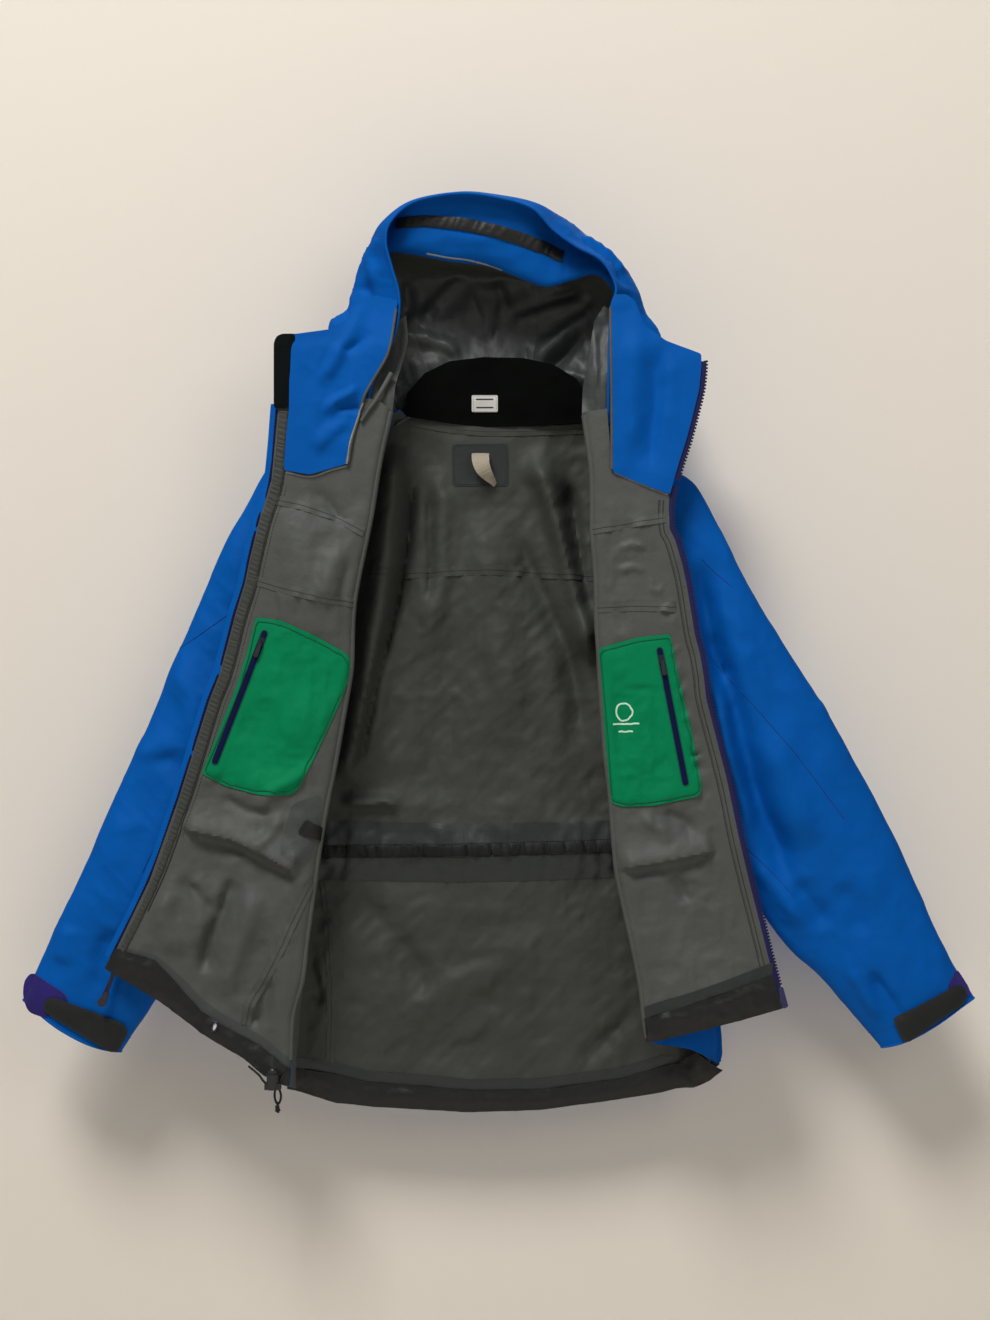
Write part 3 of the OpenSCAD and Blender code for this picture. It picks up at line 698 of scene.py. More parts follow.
# ---------------------------------------------------------------- outlines, (x, z)
R_FOLD = [(-97, 96), (-103, 56), (-107, 38), (-113, 12), (-119, -21), (-126, -66), (-144, -156),
          (-147, -225), (-153, -266), (-168, -352), (-173, -375), (-180, -413), (-185, -447),
          (-191, -492), (-197, -535), (-202, -580), (-213, -621), (-216, -680), (-219, -705)]
L_FOLD = [(108, 96), (112, 51), (120, -10), (121, -57), (121, -81), (125, -128), (126, -178),
          (128, -211), (135, -318), (142, -384), (148, -457), (155, -492), (165, -537),
          (175, -588), (179, -624), (183, -650), (186, -680)]
R_ZIP = [(-229, 63), (-237, -22), (-251, -69), (-261, -110), (-267, -139), (-277, -171),
         (-285, -202), (-295, -239), (-306, -267), (-341, -379), (-373, -469), (-419, -564)]
L_ZIP = [(243, 119), (243, 103), (240.5, 79), (232.5, 46), (226, 22), (217, -6), (210, -31),
         (207, -53), (208, -77), (214, -89), (222, -116), (227, -139), (231, -163), (236, -194),
         (242, -217), (246, -241), (249, -267), (272, -357), (285, -420), (297, -471),
         (309, -518), (320.5, -564), (333, -611)]
R_HEM = [(-423, -567), (-364, -603), (-316, -640), (-268, -669), (-246, -687), (-219, -700)]
R_HEM_TOP = [(-411, -545), (-368, -558), (-339, -589), (-316, -616), (-286, -635), (-253, -653),
             (-216, -680)]
L_HEM = [(334, -612), (265, -631), (183, -651)]
L_HEM_TOP = [(323, -575), (249, -602), (179, -625)]
B_HEM = [(-226, -715), (-197, -726), (-170, -734), (-120, -739), (-15, -745), (66, -742),
         (147, -731), (206, -722), (240, -712), (258, -701), (271, -688)]
B_HEM_TOP = [(-223, -692), (-170, -701), (-135, -710), (-97, -713), (-15, -720), (66, -719),
             (158, -706), (203, -693), (225, -687), (234, -678), (243, -670)]
B_RIGHT = [(-232, 6), (-222, -107), (-213, -200), (-213, -385), (-217, -546), (-224, -694)]
B_LEFT = [(222, -8), (238, -107), (243, -200), (250, -385), (263, -546), (272, -660)]
YOKE_SEAM = [(-223, -127), (-150, -126), (-60, -122), (0, -119), (60, -122), (140, -127),
             (239, -128)]
WAIST_SEAM = [(-215, -445), (-100, -444), (0, -442), (100, -440), (254, -436)]


def edge_x(points):
    """The x of an edge as a function of z."""
    line = arr(sorted(points, key=lambda point: point[1]))
    return lambda z: np.interp(z, line[:, 1], line[:, 0])


r_fold_x, l_fold_x, r_zip_x, l_zip_x, b_right_x, b_left_x = map(
    edge_x, (R_FOLD, L_FOLD, R_ZIP, L_ZIP, B_RIGHT, B_LEFT))


# ---------------------------------------------------------------- surface of the back
BACK_FOLDS = [   # (path, width, height, end share, right width)
    # the long roll beside the right fold, and its pleat
    ([(-101, 30), (-105, -17), (-112, -109), (-122, -177), (-133, -250), (-148, -320),
      (-163, -372)], 15, 22, 0.10, 22),
    ([(-82, 0), (-86, -47), (-89, -90), (-95, -125), (-103, -165), (-114, -205), (-125, -249),
      (-134, -295), (-143, -333), (-153, -362)], 7, -14, 0.12, 4.5),
    ([(-66, -10), (-63, -50), (-61, -110), (-66, -170)], 10, -7, 0.3, 5),
    ([(-52, 20), (-48, -60), (-52, -130), (-70, -220)], 16, 7, 0.25),
    ([(-168, -384), (-140, -388), (-112, -386), (-92, -394)], 9, 9, 0.25, 5),
    # the slack ridge and hollows beside the left fold
    ([(48, 16), (66, -10), (84, -60), (98, -110), (112, -165), (122, -230)], 15, 20, 0.15, 13),
    ([(30, -60), (44, -95), (60, -130), (80, -174), (94, -205), (108, -260), (116, -330)],
     10, -9, 0.2, 14),
    ([(98, -10), (104, -60), (112, -120), (124, -190)], 8, -14, 0.2, 16),
    ([(0, -45), (2, -100), (12, -160), (26, -240), (34, -330)], 24, 7, 0.25),
    ([(-40, -150), (-34, -240), (-46, -330), (-60, -390)], 26, -6, 0.3),
    # below the waist
    ([(-104, -640), (-74, -619), (-41, -595), (-4, -580), (40, -578)], 10, 4.5, 0.3, 20),
    ([(-160, -480), (-125, -520), (-92, -560), (-60, -620)], 18, -7, 0.25),
    ([(182, -618), (150, -655), (108, -697)], 7, -6, 0.25, 12),
    ([(-195, -560), (-186, -590), (-180, -620)], 7, 4, 0.3, 4),
    ([(-206, -607), (-192, -616), (-182, -612)], 4, -4, 0.3),
]


def side_turn(x, z):
    """How far the side edges of the back come forward."""
    right = np.clip(1 - (x - b_right_x(z)) / 30, 0, 1)
    left = np.clip(1 - (b_left_x(z) - x) / 30, 0, 1)
    return 13 * right ** 2 + 13 * left ** 2


def back_y(x, z):
    """Middle of the back sheet."""
    relief = folds(x, z, BACK_FOLDS)
    above_waist = smooth((z + 395) / 60)
    relief = relief + wrinkles(*rotated(x, z, 8), (75, 260), 9, seed=3) * above_waist
    relief = relief + wrinkles(x, z, (130, 80), 7, seed=5) * (1 - above_waist)
    relief = relief + creases(x, z, (34, 48), 2.0, seed=7, octaves=3)
    relief = relief + creases(x + z, x - z, (60, 22), 1.8, seed=8)
    # gathers running off the waist cord
    waist = np.exp(-((z + 443 + 0.02 * x) / 26) ** 2)
    relief = relief + waist * (3.0 + wrinkles(x, z, (9, 60), 2.6, seed=9, octaves=2))
    relief = relief * 1.4 + creases(x, z, (17, 25), 1.5, seed=11)
    # calm towards the sides and the hem, and flat under the hang loop patch
    relief = relief * smooth((x - b_right_x(z)) / 30) * smooth((b_left_x(z) - x) / 30)
    relief = relief * (0.25 + 0.75 * smooth((z + 730) / 60))
    patch = box_mask(x, z, -52, 44, -36, 44, soft=14)
    relief = relief * (1 - patch) + 1.0 * patch
    relief = relief * (0.15 + 0.85 * smooth((52 - z) / 30))
    return 11.0 - relief - side_turn(x, z)


def back_outer_y(x, z):
    """Far face of the back, which hangs smoother than the folds of its lining."""
    near = back_y(x, z) + 1.3
    soft = 14.0 + wrinkles(*rotated(x, z, 7), (62, 210), 9, seed=171) * smooth((z + 420) / 80)
    soft = soft + wrinkles(x, z, (90, 70), 8, seed=173) * smooth((-400 - z) / 70)
    soft = soft + creases(x, z, (30, 36), 1.2, seed=175)
    soft = soft - 4.5 * np.exp(-((z + 443) / 9) ** 2)
    soft = soft + np.exp(-((z + 443) / 34) ** 2) * wrinkles(x, z, (10, 70), 4, 177, octaves=2)
    soft = soft - side_turn(x, z)
    inner = (smooth((x - b_right_x(z)) / 26) * smooth((b_left_x(z) - x) / 26)
             * smooth((z + 722) / 34) * smooth((54 - z) / 22))
    gap = soft - near
    # a softened maximum keeps the far face behind the near one
    push = 0.5 * (gap + np.sqrt(gap * gap + 9.0)) - 0.5 * np.exp(-np.abs(gap) / 3)
    return near + inner * np.maximum(push, 0.0)


# ---------------------------------------------------------------- surfaces of the fronts
R_FRONT_FOLDS = [   # (path, width, height, end share, right width)
    ([(-345, -398), (-330, -412), (-284, -422), (-247, -438), (-205, -462)], 20, 8, 0.10, 2.2),
    ([(-330, -424), (-284, -432), (-247, -449), (-206, -470)], 5, -2.5, 0.15, 12),
    ([(-276, -458), (-291, -497), (-310, -545), (-318, -580)], 11, -7, 0.2, 7),
    ([(-255, -470), (-262, -510), (-280, -560), (-296, -606)], 13, 6, 0.25),
    ([(-345, -462), (-318, -488), (-300, -512)], 8, -4, 0.3),
    ([(-372, -478), (-352, -520), (-340, -560)], 16, 5, 0.3),
    ([(-238, -575), (-246, -610), (-262, -640)], 8, -5, 0.25),
    ([(-260, -398), (-238, -372), (-205, -352), (-182, -330)], 8, 4, 0.3),
    ([(-300, -372), (-262, -392), (-228, -396)], 6, -3, 0.3),
    ([(-262, -438), (-240, -420), (-222, -392)], 7, 4.5, 0.3),
    ([(-160, -90), (-176, -140), (-178, -172)], 10, 3.5, 0.3),
    ([(-146, -100), (-158, -150), (-152, -176)], 6, -3, 0.3),
    ([(-204, -26), (-176, -44), (-150, -80)], 7, -2.5, 0.3),
]
L_FRONT_FOLDS = [
    ([(140, -459), (160, -454), (196, -448), (262, -435)], 18, 6.5, 0.12, 2),
    ([(152, -464), (196, -457), (255, -444)], 4, -2, 0.2, 9),
    ([(148, -100), (165, -94), (184, -97)], 4, 2.4, 0.3),
    ([(147, -124), (166, -119), (184, -124)], 4, 2.4, 0.3),
    ([(190, -128), (186, -140), (192, -152)], 3.5, 2.2, 0.3),
    ([(196, -390), (222, -402), (240, -420)], 7, -3, 0.3),
    ([(170, -396), (196, -410), (214, -428)], 8, 3.5, 0.3),
    ([(206, -462), (222, -478), (228, -498)], 8, -3.5, 0.3),
    ([(204, -120), (212, -160), (214, -196)], 3.5, 2.2, 0.25),
]


def chest_area(node):
    """Limits of the area kept clear round a chest zip: x0, x1, z0, z1."""
    low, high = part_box(node)
    return low.x / MM - 22, high.x / MM + 22, low.z / MM - 24, high.z / MM + 24


CHEST_AREAS = {side: chest_area(side + "_chest_zip") for side in ("right", "left")}


def chest_clear(x, z, relief, side):
    """Keeps the sheet off the chest zip that lies on its far side."""
    mask = box_mask(x, z, *CHEST_AREAS[side], soft=10)
    return relief * (1 - mask) + mask * (0.9 + np.maximum(relief, 0.0))


def away_from(x, z, line, start, end):
    """0 within start of the line, 1 beyond end."""
    return smooth((path_distance(x, z, line)[0] - start) / (end - start))


def puckers(x, z, slanted, pitch, height, seed):
    waver = 5 * value_noise(x / 14, z / 20, seed)
    return np.sin(slanted / pitch + waver) * height + 0.8


def front_depth(relief, from_fold, fade):
    """Depth of a front, rolled back along its fold."""
    roll = np.clip(1 - from_fold / 9.0, 0, 1)
    return -65.0 - relief * smooth(from_fold / fade) + 9 * (1 - np.sqrt(1 - 0.96 * roll * roll))


def r_front_y(x, z):
    from_zip = x - r_zip_x(z)
    relief = wrinkles(x + 285, z, (95, 150), 9, seed=21)
    relief = relief + creases(x, z, (30, 42), 1.8, seed=23, octaves=3)
    beside_zip = (np.exp(-((from_zip - 24) / 9) ** 2) * smooth((z + 395) / 40)
                  * smooth((-150 - z) / 60))
    relief = relief + beside_zip * puckers(x, z, z + 0.55 * x, pitch=4.3, height=1.3, seed=25)
    relief = relief + folds(x, z, R_FRONT_FOLDS)
    relief = relief * 1.6 + creases(x, z, (17, 23), 1.6, seed=27)
    relief = relief * away_from(x, z, [(-245, -188), (-302, -342)], 7, 20)    # pocket zip
    relief = relief * smooth((from_zip - 10) / 22) * (0.25 + 0.75 * smooth((z + 704) / 40))
    relief = relief * (0.25 + 0.75 * smooth((-20 - z) / 40))
    return front_depth(chest_clear(x, z, relief, "right"), r_fold_x(z) - x, fade=22)


def l_front_y(x, z):
    from_zip = l_zip_x(z) - x
    relief = wrinkles(x + 720, z, (80, 150), 6, seed=41)
    relief = relief + creases(x, z, (26, 30), 1.5, seed=43, octaves=3)
    beside_zip = (np.exp(-((from_zip - 28) / 11) ** 2) * smooth((z + 400) / 40)
                  * smooth((-110 - z) / 50))
    relief = relief + beside_zip * puckers(x, z, z - 0.6 * x, pitch=4.6, height=1.7, seed=45)
    relief = relief + folds(x, z, L_FRONT_FOLDS)
    relief = relief * 1.6 + creases(x, z, (15, 19), 1.7, seed=47)
    relief = relief * away_from(x, z, [(195, -206), (226, -364)], 7, 18)    # pocket zip
    relief = relief * smooth((from_zip - 12) / 22) * (0.25 + 0.75 * smooth((z + 655) / 40))
    relief = relief * (0.2 + 0.8 * smooth((-36 - z) / 40))
    return front_depth(chest_clear(x, z, relief, "left"), x - l_fold_x(z), fade=20)


def flat(depth):
    return lambda x, z: 0.0 * x + depth


def hem_surface(base, size, height, crease_size, seed):
    """A base surface with the puckers of a hem facing on it."""
    return lambda x, z: (base(x, z) - 1.0 - np.abs(wrinkles(x, z, size, height, seed))
                         - creases(x, z, crease_size, 0.9, seed + 1))


back_hem_y = hem_surface(lambda x, z: back_y(x, z) - 30 * smooth((x - 218) / 34),
                         (22, 26), 3.0, (9, 14), seed=71)
r_hem_y = hem_surface(r_front_y, (20, 22), 3.2, (9, 13), seed=91)
l_hem_y = hem_surface(l_front_y, (18, 22), 3.0, (8, 14), seed=93)


# ---------------------------------------------------------------- back
def build_back():
    look = dict(thickness=1.3, outer=back_outer_y)
    yoke = [(-235, -30), (-231, -4), (-214, 16), (-160, 38), (-88, 57), (-40, 49), (4, 45),
            (60, 46), (122, 50), (180, 34), (206, 17), (224, -12), (238, -34)]
    plate("back_yoke_sheet", yoke + YOKE_SEAM[::-1], back_y, LINED_PAINTED_SHADE, "torso", "shell_blue",
          "back_yoke", cell=3.5, **look)
    plate("back_panel_sheet", YOKE_SEAM + B_LEFT[2:4] + WAIST_SEAM[::-1]
          + [(-213, -385), (-213, -200)], back_y, LINED_PAINTED_SHADE, "torso", "shell_blue",
          "back_panel", cell=3.2, **look)
    plate("back_lower_sheet", WAIST_SEAM + B_LEFT[4:] + B_HEM[::-1]
          + [(-224, -694), (-217, -546)], back_y, LINED_PAINTED_SHADE, "torso", "shell_blue",
          "back_lower_panel", cell=3.4, **look)

    # double rows of thread on the outside
    for name, seam in (("yoke", YOKE_SEAM), ("waist", WAIST_SEAM),
                       ("hem", raised(B_HEM_TOP[:8], 3))):
        for k, dz in enumerate((0.0, 4.5)):
            points, normals = surface_path(raised(seam, dz),
                                           lambda x, z: back_outer_y(x, z) + 0.35)
            ribbon(f"{name}_seam_outside_{k}", points, -normals, 1.3, 0.6, BLUE_THREAD,
                   "torso", "shell_blue", **FINE)

    for name, path, line, width, thickness, lift in (
            ("yoke_seam_tape", YOKE_SEAM, GREY_THREAD, 12, 0.5, 0.8),
            ("neck_seam_tape", [(-86, 53), (-40, 45), (4, 41), (60, 42), (121, 45)],
             LINING_PAINTED_SHADE, 11, 0.6, 1.0),
            ("back_side_seam_right", [(-185, -478), (-180, -520), (-178, -569), (-176, -620),
                                      (-178, -688)], GREY_THREAD, 10, 0.5, 0.8),
            ("back_side_seam_left", [(214, -478), (222, -560), (226, -640)],
             GREY_THREAD, 10, 0.5, 0.8)):
        seam_tape(name, path, back_y, "torso", LINING_PAINTED_SHADE, line, width=width,
                  thickness=thickness, lift=lift, line_lift=thickness * 0.9)


def build_waist():
    """Bonded tape and the gathered cord channel over it."""
    plate("waist_tape_film",
          [(-206, -408), (-100, -410), (-26, -412), (100, -410), (190, -406), (250, -404),
           (256, -468), (150, -474), (60, -477), (-26, -479), (-120, -478), (-210, -476)],
          back_y, TAPE, "torso", "lining_grey", thickness=0.5, cell=4, lift=1.0)
    middle = [(-120, -443), (-26, -442), (60, -440), (150, -437)]
    band("waist_cord_channel_gathered", [(-206, -444)] + middle + [(240, -434)], back_y, 13, 1.7,
         CORD, "torso", "hem_black", "waist_drawcord_channel", lift=2.6, count=520, arch=0.6,
         gathers=(0.3, 2.3), columns=9)
    for k, dz in enumerate((-7.5, 7.5)):
        stitch_row(f"waist_stitch_{k}", raised([(-204, -444)] + middle + [(238, -434)], dz),
                   back_y, CORD, "torso", "hem_black", lift=1.7)


def build_back_hem():
    plate("back_hem_tape_film", raised(B_HEM_TOP[:8], 13) + [(222, -680)]
          + raised(B_HEM_TOP[7::-1], -1) + [(-226, -690)], back_y, TAPE, "torso", "hem_black",
          thickness=0.5, cell=3.5, lift=0.95)
    plate("back_hem_facing_sheet", B_HEM_TOP + [(256, -680), (265, -686)] + B_HEM[::-1],
          back_hem_y, HEM, "torso", "hem_black", "back_hem_facing", thickness=1.8, cell=3,
          lift=0.6, dome=1.8)
    stitch_row("back_hem_stitch", raised(B_HEM_TOP, -2), back_hem_y, CORD, "torso", "hem_black",
               lift=1.6)


# ---------------------------------------------------------------- sides and shoulders
def side_grid(side, fold_x, back_x, front_bottom, back_bottom, top_line):
    """A side panel that curves from the fold round to the back; side is -1 right, 1 left."""
    rows, u = np.linspace(0, 1, 90), np.linspace(0, 1, 30)
    top = 30
    front_z = top + (front_bottom - top) * rows
    back_z = top + (back_bottom - top) * rows
    front = fold_x(front_z) - side * 1.0
    back = back_x(back_z)
    hull = [(front, -57.5, front_z), (front + side * 14, -61, front_z),
            (back - side * 24, -46, (front_z + back_z) / 2), (back - side * 5, -24, back_z),
            (back, -2.2, back_z)]
    grid = np.zeros((90, 30, 3))
    for k, point in enumerate(hull):      # Bezier weights
        weight = math.comb(4, k) * u ** k * (1 - u) ** (4 - k)
        grid += weight[None, :, None] * np.stack(np.broadcast_arrays(*point), -1)[:, None]
    wave = wrinkles(grid[..., 2], grid[..., 1] + side * 120, (120, 30), 6, seed=81)
    grid[..., 0] -= side * np.abs(wave * np.sin(np.pi * u)[None, :])
    # stay below the shoulder seam
    grid[..., 2] = np.minimum(grid[..., 2], np.interp(grid[..., 0], *zip(*top_line)) - 2.5)
    return grid


def shoulder_grid(back, front):
    back, front = smooth_line(back, 34), smooth_line(front, 34)
    u = np.linspace(0, 1, 18)
    grid = back[:, None] * (1 - u)[None, :, None] + front[:, None] * u[None, :, None]
    arch = np.sin(np.pi * u)[None, :]
    waves = wrinkles(grid[..., 0], grid[..., 1], (30, 30), 3, seed=83, octaves=2)
    grid[..., 2] += 5 * arch + waves * arch
    return grid


def build_sides():
    r_top = [(-240, 1), (-214, 16), (-160, 38), (-88, 57)]
    l_top = [(122, 50), (180, 34), (206, 16), (224, -13)]
    sheet("right_side_sheet", side_grid(-1, r_fold_x, b_right_x, -700, -712, r_top), 1.3, LINED,
          "torso", "shell_blue", "right_side_panel", flip=True)
    sheet("left_side_sheet", side_grid(1, l_fold_x, b_left_x, -644, -684, l_top), 1.3, LINED,
          "torso", "shell_blue", "left_side_panel")
    grid = shoulder_grid([(-88, 11, 57.5), (-160, 11.5, 38.5), (-214, 10.5, 16.5), (-233, 0, 0)],
                         [(-102, -58, 52), (-165, -60, 36), (-222, -56, 10), (-236, -44, -6)])
    sheet("right_shoulder_sheet", grid, 1.3, LINED_OUT, "torso", "shell_blue",
          "right_shoulder_panel", flip=True)
    grid = shoulder_grid([(122, 11, 50.5), (180, 11.5, 34.5), (206, 10.5, 17), (223, 0, -12)],
                         [(110, -58, 50), (170, -60, 30), (198, -56, 4), (212, -44, -18)])
    sheet("left_shoulder_sheet", grid, 1.3, LINED_OUT, "torso", "shell_blue",
          "left_shoulder_panel")

    for name, path in (
            ("right", [(-96, 13.0, 55), (-128, 13.0, 47), (-160, 13.0, 37.5), (-190, 12.5, 27),
                       (-214, 11.5, 15.5), (-227, 7, 5), (-233, 1, -2)]),
            ("left", [(124, 13.0, 49.5), (150, 13.0, 43), (180, 13.0, 33.5), (196, 12.5, 25),
                      (206, 11.5, 16), (217, 6, 0), (223, 0, -14)])):
        rod(name + "_shoulder_seam_roll", smooth_line(path, 70), 2.6, BLUE, "torso")
    for name, back_x, side, bottom in (("right", b_right_x, -1, -706),
                                       ("left", b_left_x, 1, -672)):
        z = np.linspace(-14, bottom, 160)
        rod(name + "_side_seam_roll", np.c_[back_x(z) - side * 0.8, np.full(160, -2.0), z], 2.3,
            BLUE, "torso", sides=8)


# ---------------------------------------------------------------- neck
def nape_y(x, z):
    return (9.0 - 4 * smooth((z - 50) / 30) + wrinkles(x, z, (34, 26), 3, seed=85, octaves=2)
            + ((x - 14) / 115) ** 2 * (-8))


def build_neck():
    plate("nape_lining_sheet",
          [(-92, 58), (-60, 53), (4, 46), (70, 47), (126, 52), (122, 78), (106, 101), (80, 117),
           (46, 125), (0, 126), (-40, 121), (-68, 107), (-88, 84)],
          nape_y, [NAPE, BLUE, NAPE], "torso", "lining_grey", "nape_lining", thickness=1.8,
          cell=3)

    label = [(-14, 63), (16, 63), (16, 82), (-14, 82)]
    plate("neck_label_woven", rounded(label, 1.5), nape_y, LABEL, "torso", "label_white",
          "neck_label", thickness=0.7, cell=1.5, lift=1.6)
    frame = scaled(label, np.mean(label, axis=0), 0.9)
    for k in range(4):
        stitch_row(f"neck_label_stitch_{k}", [frame[k], frame[(k + 1) % 4]], nape_y, GREY_THREAD,
                   "torso", "label_white", lift=2.0, long=1.6, gap=1.0, wide=0.4, high=0.25)
    for k, z in enumerate((77.5, 68.5)):
        band(f"neck_label_bar_{k}", [(-9, z), (11, z)], nape_y, 1.6, 0.25, GREY_THREAD, "torso",
             "label_white", lift=1.95, arch=0.3, columns=5)

    patch = rounded([(-36.5, -22), (28.5, -22), (28, 27), (-37, 26)], 5)
    plate("hang_loop_patch_sheet", patch, back_y, TAPE, "torso", "hem_black", "hang_loop_patch",
          thickness=1.0, cell=2, lift=1.0)
    frame = scaled(patch, (-4, 2.5), 0.93)
    stitch_row("hang_loop_patch_stitch", np.vstack([frame, frame[:1]]), back_y, CORD, "torso",
               "hem_black", lift=1.6, count=110, long=1.8, gap=1.1, wide=0.4)

    points = smooth_line([(-4, 8.2, 14.5), (-4, 3.5, 13.5), (-4, -3.2, 9.5), (-3, -6.8, 2),
                          (0, -6.2, -5), (4.5, -2.5, -11), (9, 2.5, -16), (12.5, 7.6, -20.5)], 60)
    normals = smooth_line([(0, -0.25, 1), (0, -0.6, 0.8), (0, -0.85, 0.5), (0.05, -1, 0.1),
                           (0.15, -0.9, -0.35), (0.4, -0.8, -0.35), (0.6, -0.8, -0.1),
                           (0.6, -0.8, 0)], 60)
    width = np.interp(np.linspace(0, 1, 60), [0, 0.3, 0.5, 0.7, 0.85, 1], [20, 20, 18, 13, 9, 6])
    ribbon("hang_loop_webbing", points, normals, width, 1.3, WEBBING, "torso", "loop_beige",
           "hang_loop", arch=0.25, gathers=(0.18, 1.6), uneven=True, columns=11)
    for k, z in enumerate((14.6, 11.8)):
        stitches(f"hang_loop_bartack_{k}", even([(-13, 6.8, z), (5, 6.8, z)], 20),
                 np.tile(arr([0, -1, 0.2]), (20, 1)), WEBBING, "torso", "loop_beige", long=1.0,
                 gap=0.3, wide=1.2)


# ---------------------------------------------------------------- fronts
def front_blend(hinge, outward):
    """Returns a function that bakes a piece's transform; the two points it works out across the fold
    are not used.
    """
    start, end = (tuple((arr(hinge) + arr(outward) * reach) * MM) for reach in (-6, 30))
    return lambda obj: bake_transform(obj)


on_right = front_blend((-157.7, -62, -300), (-0.9884, 0, 0.1517))
on_left = front_blend((142, -62, -300), (0.9953, 0, 0.0966))


def zip_line(edge, offset, top, bottom):
    """A closing edge moved sideways (positive towards +x), between two heights."""
    line = arr([point for point in smooth_line(edge, 90) if top > point[1] > bottom])
    tangents = unit(np.gradient(line, axis=0))
    return line + np.c_[-tangents[:, 1], tangents[:, 0]] * offset


def zip_teeth(name, line, surface, material, body, replaces, side, lift, width=4.6,
              height=2.4):
    """Moulded teeth along a line; side is the x direction they point in."""
    long, pitch = 2.2, 3.6
    points, normals = surface_path(line, surface, int(length(line) / pitch), lift)
    tangents = unit(np.gradient(points, axis=0))
    outline = [(-.3, -.5), (.3, -.5), (.3, -.08), (.5, .02), (.5, .33), (.28, .5), (-.28, .5),
               (-.5, .33), (-.5, .02), (-.3, -.08)]      # shares of length and width
    count = len(outline)
    verts, faces = [], []
    for point, tangent, normal in zip(points, tangents, normals):
        across = unit(np.cross(tangent, normal))
        if across[0] * side < 0:
            across = -across
        first = len(verts)
        places = [point + tangent * a * long + across * c * width for a, c in outline]
        rise = normal * height / 2
        verts += [place + rise * (1 if abs(c) < .45 else .6)
                  for place, (_, c) in zip(places, outline)]
        verts += [place - rise for place in places]
        faces.append([first + i for i in range(count)])
        faces.append([first + count + i for i in range(count)][::-1])
        faces += [[first + i, first + count + i, first + count + (i + 1) % count,
                   first + (i + 1) % count] for i in range(count)]
    register(make_closed(name, verts, faces, material, sharp=35), body, replaces)


def build_front_panels():
    neck = [(-103, 56), (-118, 68), (-134, 70), (-150, 30), (-160, 10), (-213, 10), (-214, 62),
            (-229, 62)]
    plate("right_front_sheet", neck + [point for point in R_ZIP if point[1] < 60] + R_HEM
          + R_FOLD[2:-1][::-1], r_front_y, LINED, on_right, "lining_grey", "right_front_panel",
          thickness=1.3, cell=2.8)
    neck = [(112, 54), (138, 58), (143, -4), (150, -11), (175, -20), (208, -34)]
    plate("left_front_sheet", neck + [point for point in L_ZIP if point[1] < -40] + L_HEM
          + L_FOLD[2:-1][::-1], l_front_y, LINED, on_left, "lining_grey", "left_front_panel",
          thickness=1.3, cell=2.8)
    for name, fold, bottom, side in (("right", R_FOLD, -672, -1), ("left", L_FOLD, -646, 1)):
        line = smooth_line(fold[1:-1], 160)
        x, z = line[line[:, 1] > bottom].T
        rod(name + "_fold_roll", np.c_[x + side * 1.2, np.full(len(x), -59.5), z],
            3.6 + 0.5 * value_noise(z / 30, 0.0, 19), LINING, "torso", sides=12)

    for name, path, surface, place in (
            ("right_front_yoke_seam", [(-232, -44), (-205, -50), (-183, -57), (-160, -66),
                                       (-134, -80)], r_front_y, on_right),
            ("right_front_chest_seam", [(-262, -132), (-216, -145), (-180, -153), (-146, -159)],
             r_front_y, on_right),
            ("right_front_side_seam", [(-192, -470), (-211, -510), (-226, -544), (-241, -574),
                                       (-261, -608), (-267, -632)], r_front_y, on_right),
            ("left_front_yoke_seam", [(123, -77), (160, -71), (203, -64)], l_front_y, on_left),
            ("left_front_chest_seam", [(124, -165), (166, -163), (214, -164)],
             l_front_y, on_left)):
        seam_tape(name, path, surface, place, LINING, GREY_THREAD, width=11, thickness=0.5,
                  lift=0.9, line_lift=0.4)

    # the end of the waist tape on the right front, and the anchor tab of the waist cord
    plate("right_waist_tape_end", rounded([(-214, -384), (-180, -372), (-184, -413),
                                           (-193, -448), (-203, -455), (-228, -437)], 8),
          r_front_y, LIGHT_TAPE, on_right, "lining_grey", thickness=0.4, cell=3, lift=0.7)
    plate("waist_anchor_tab", rounded([(-198, -401), (-179, -411), (-181, -426), (-207, -415)],
                                      2),
          r_front_y, HEM, on_right, "hem_black", thickness=1.6, cell=2, lift=2.4, dome=0.8)


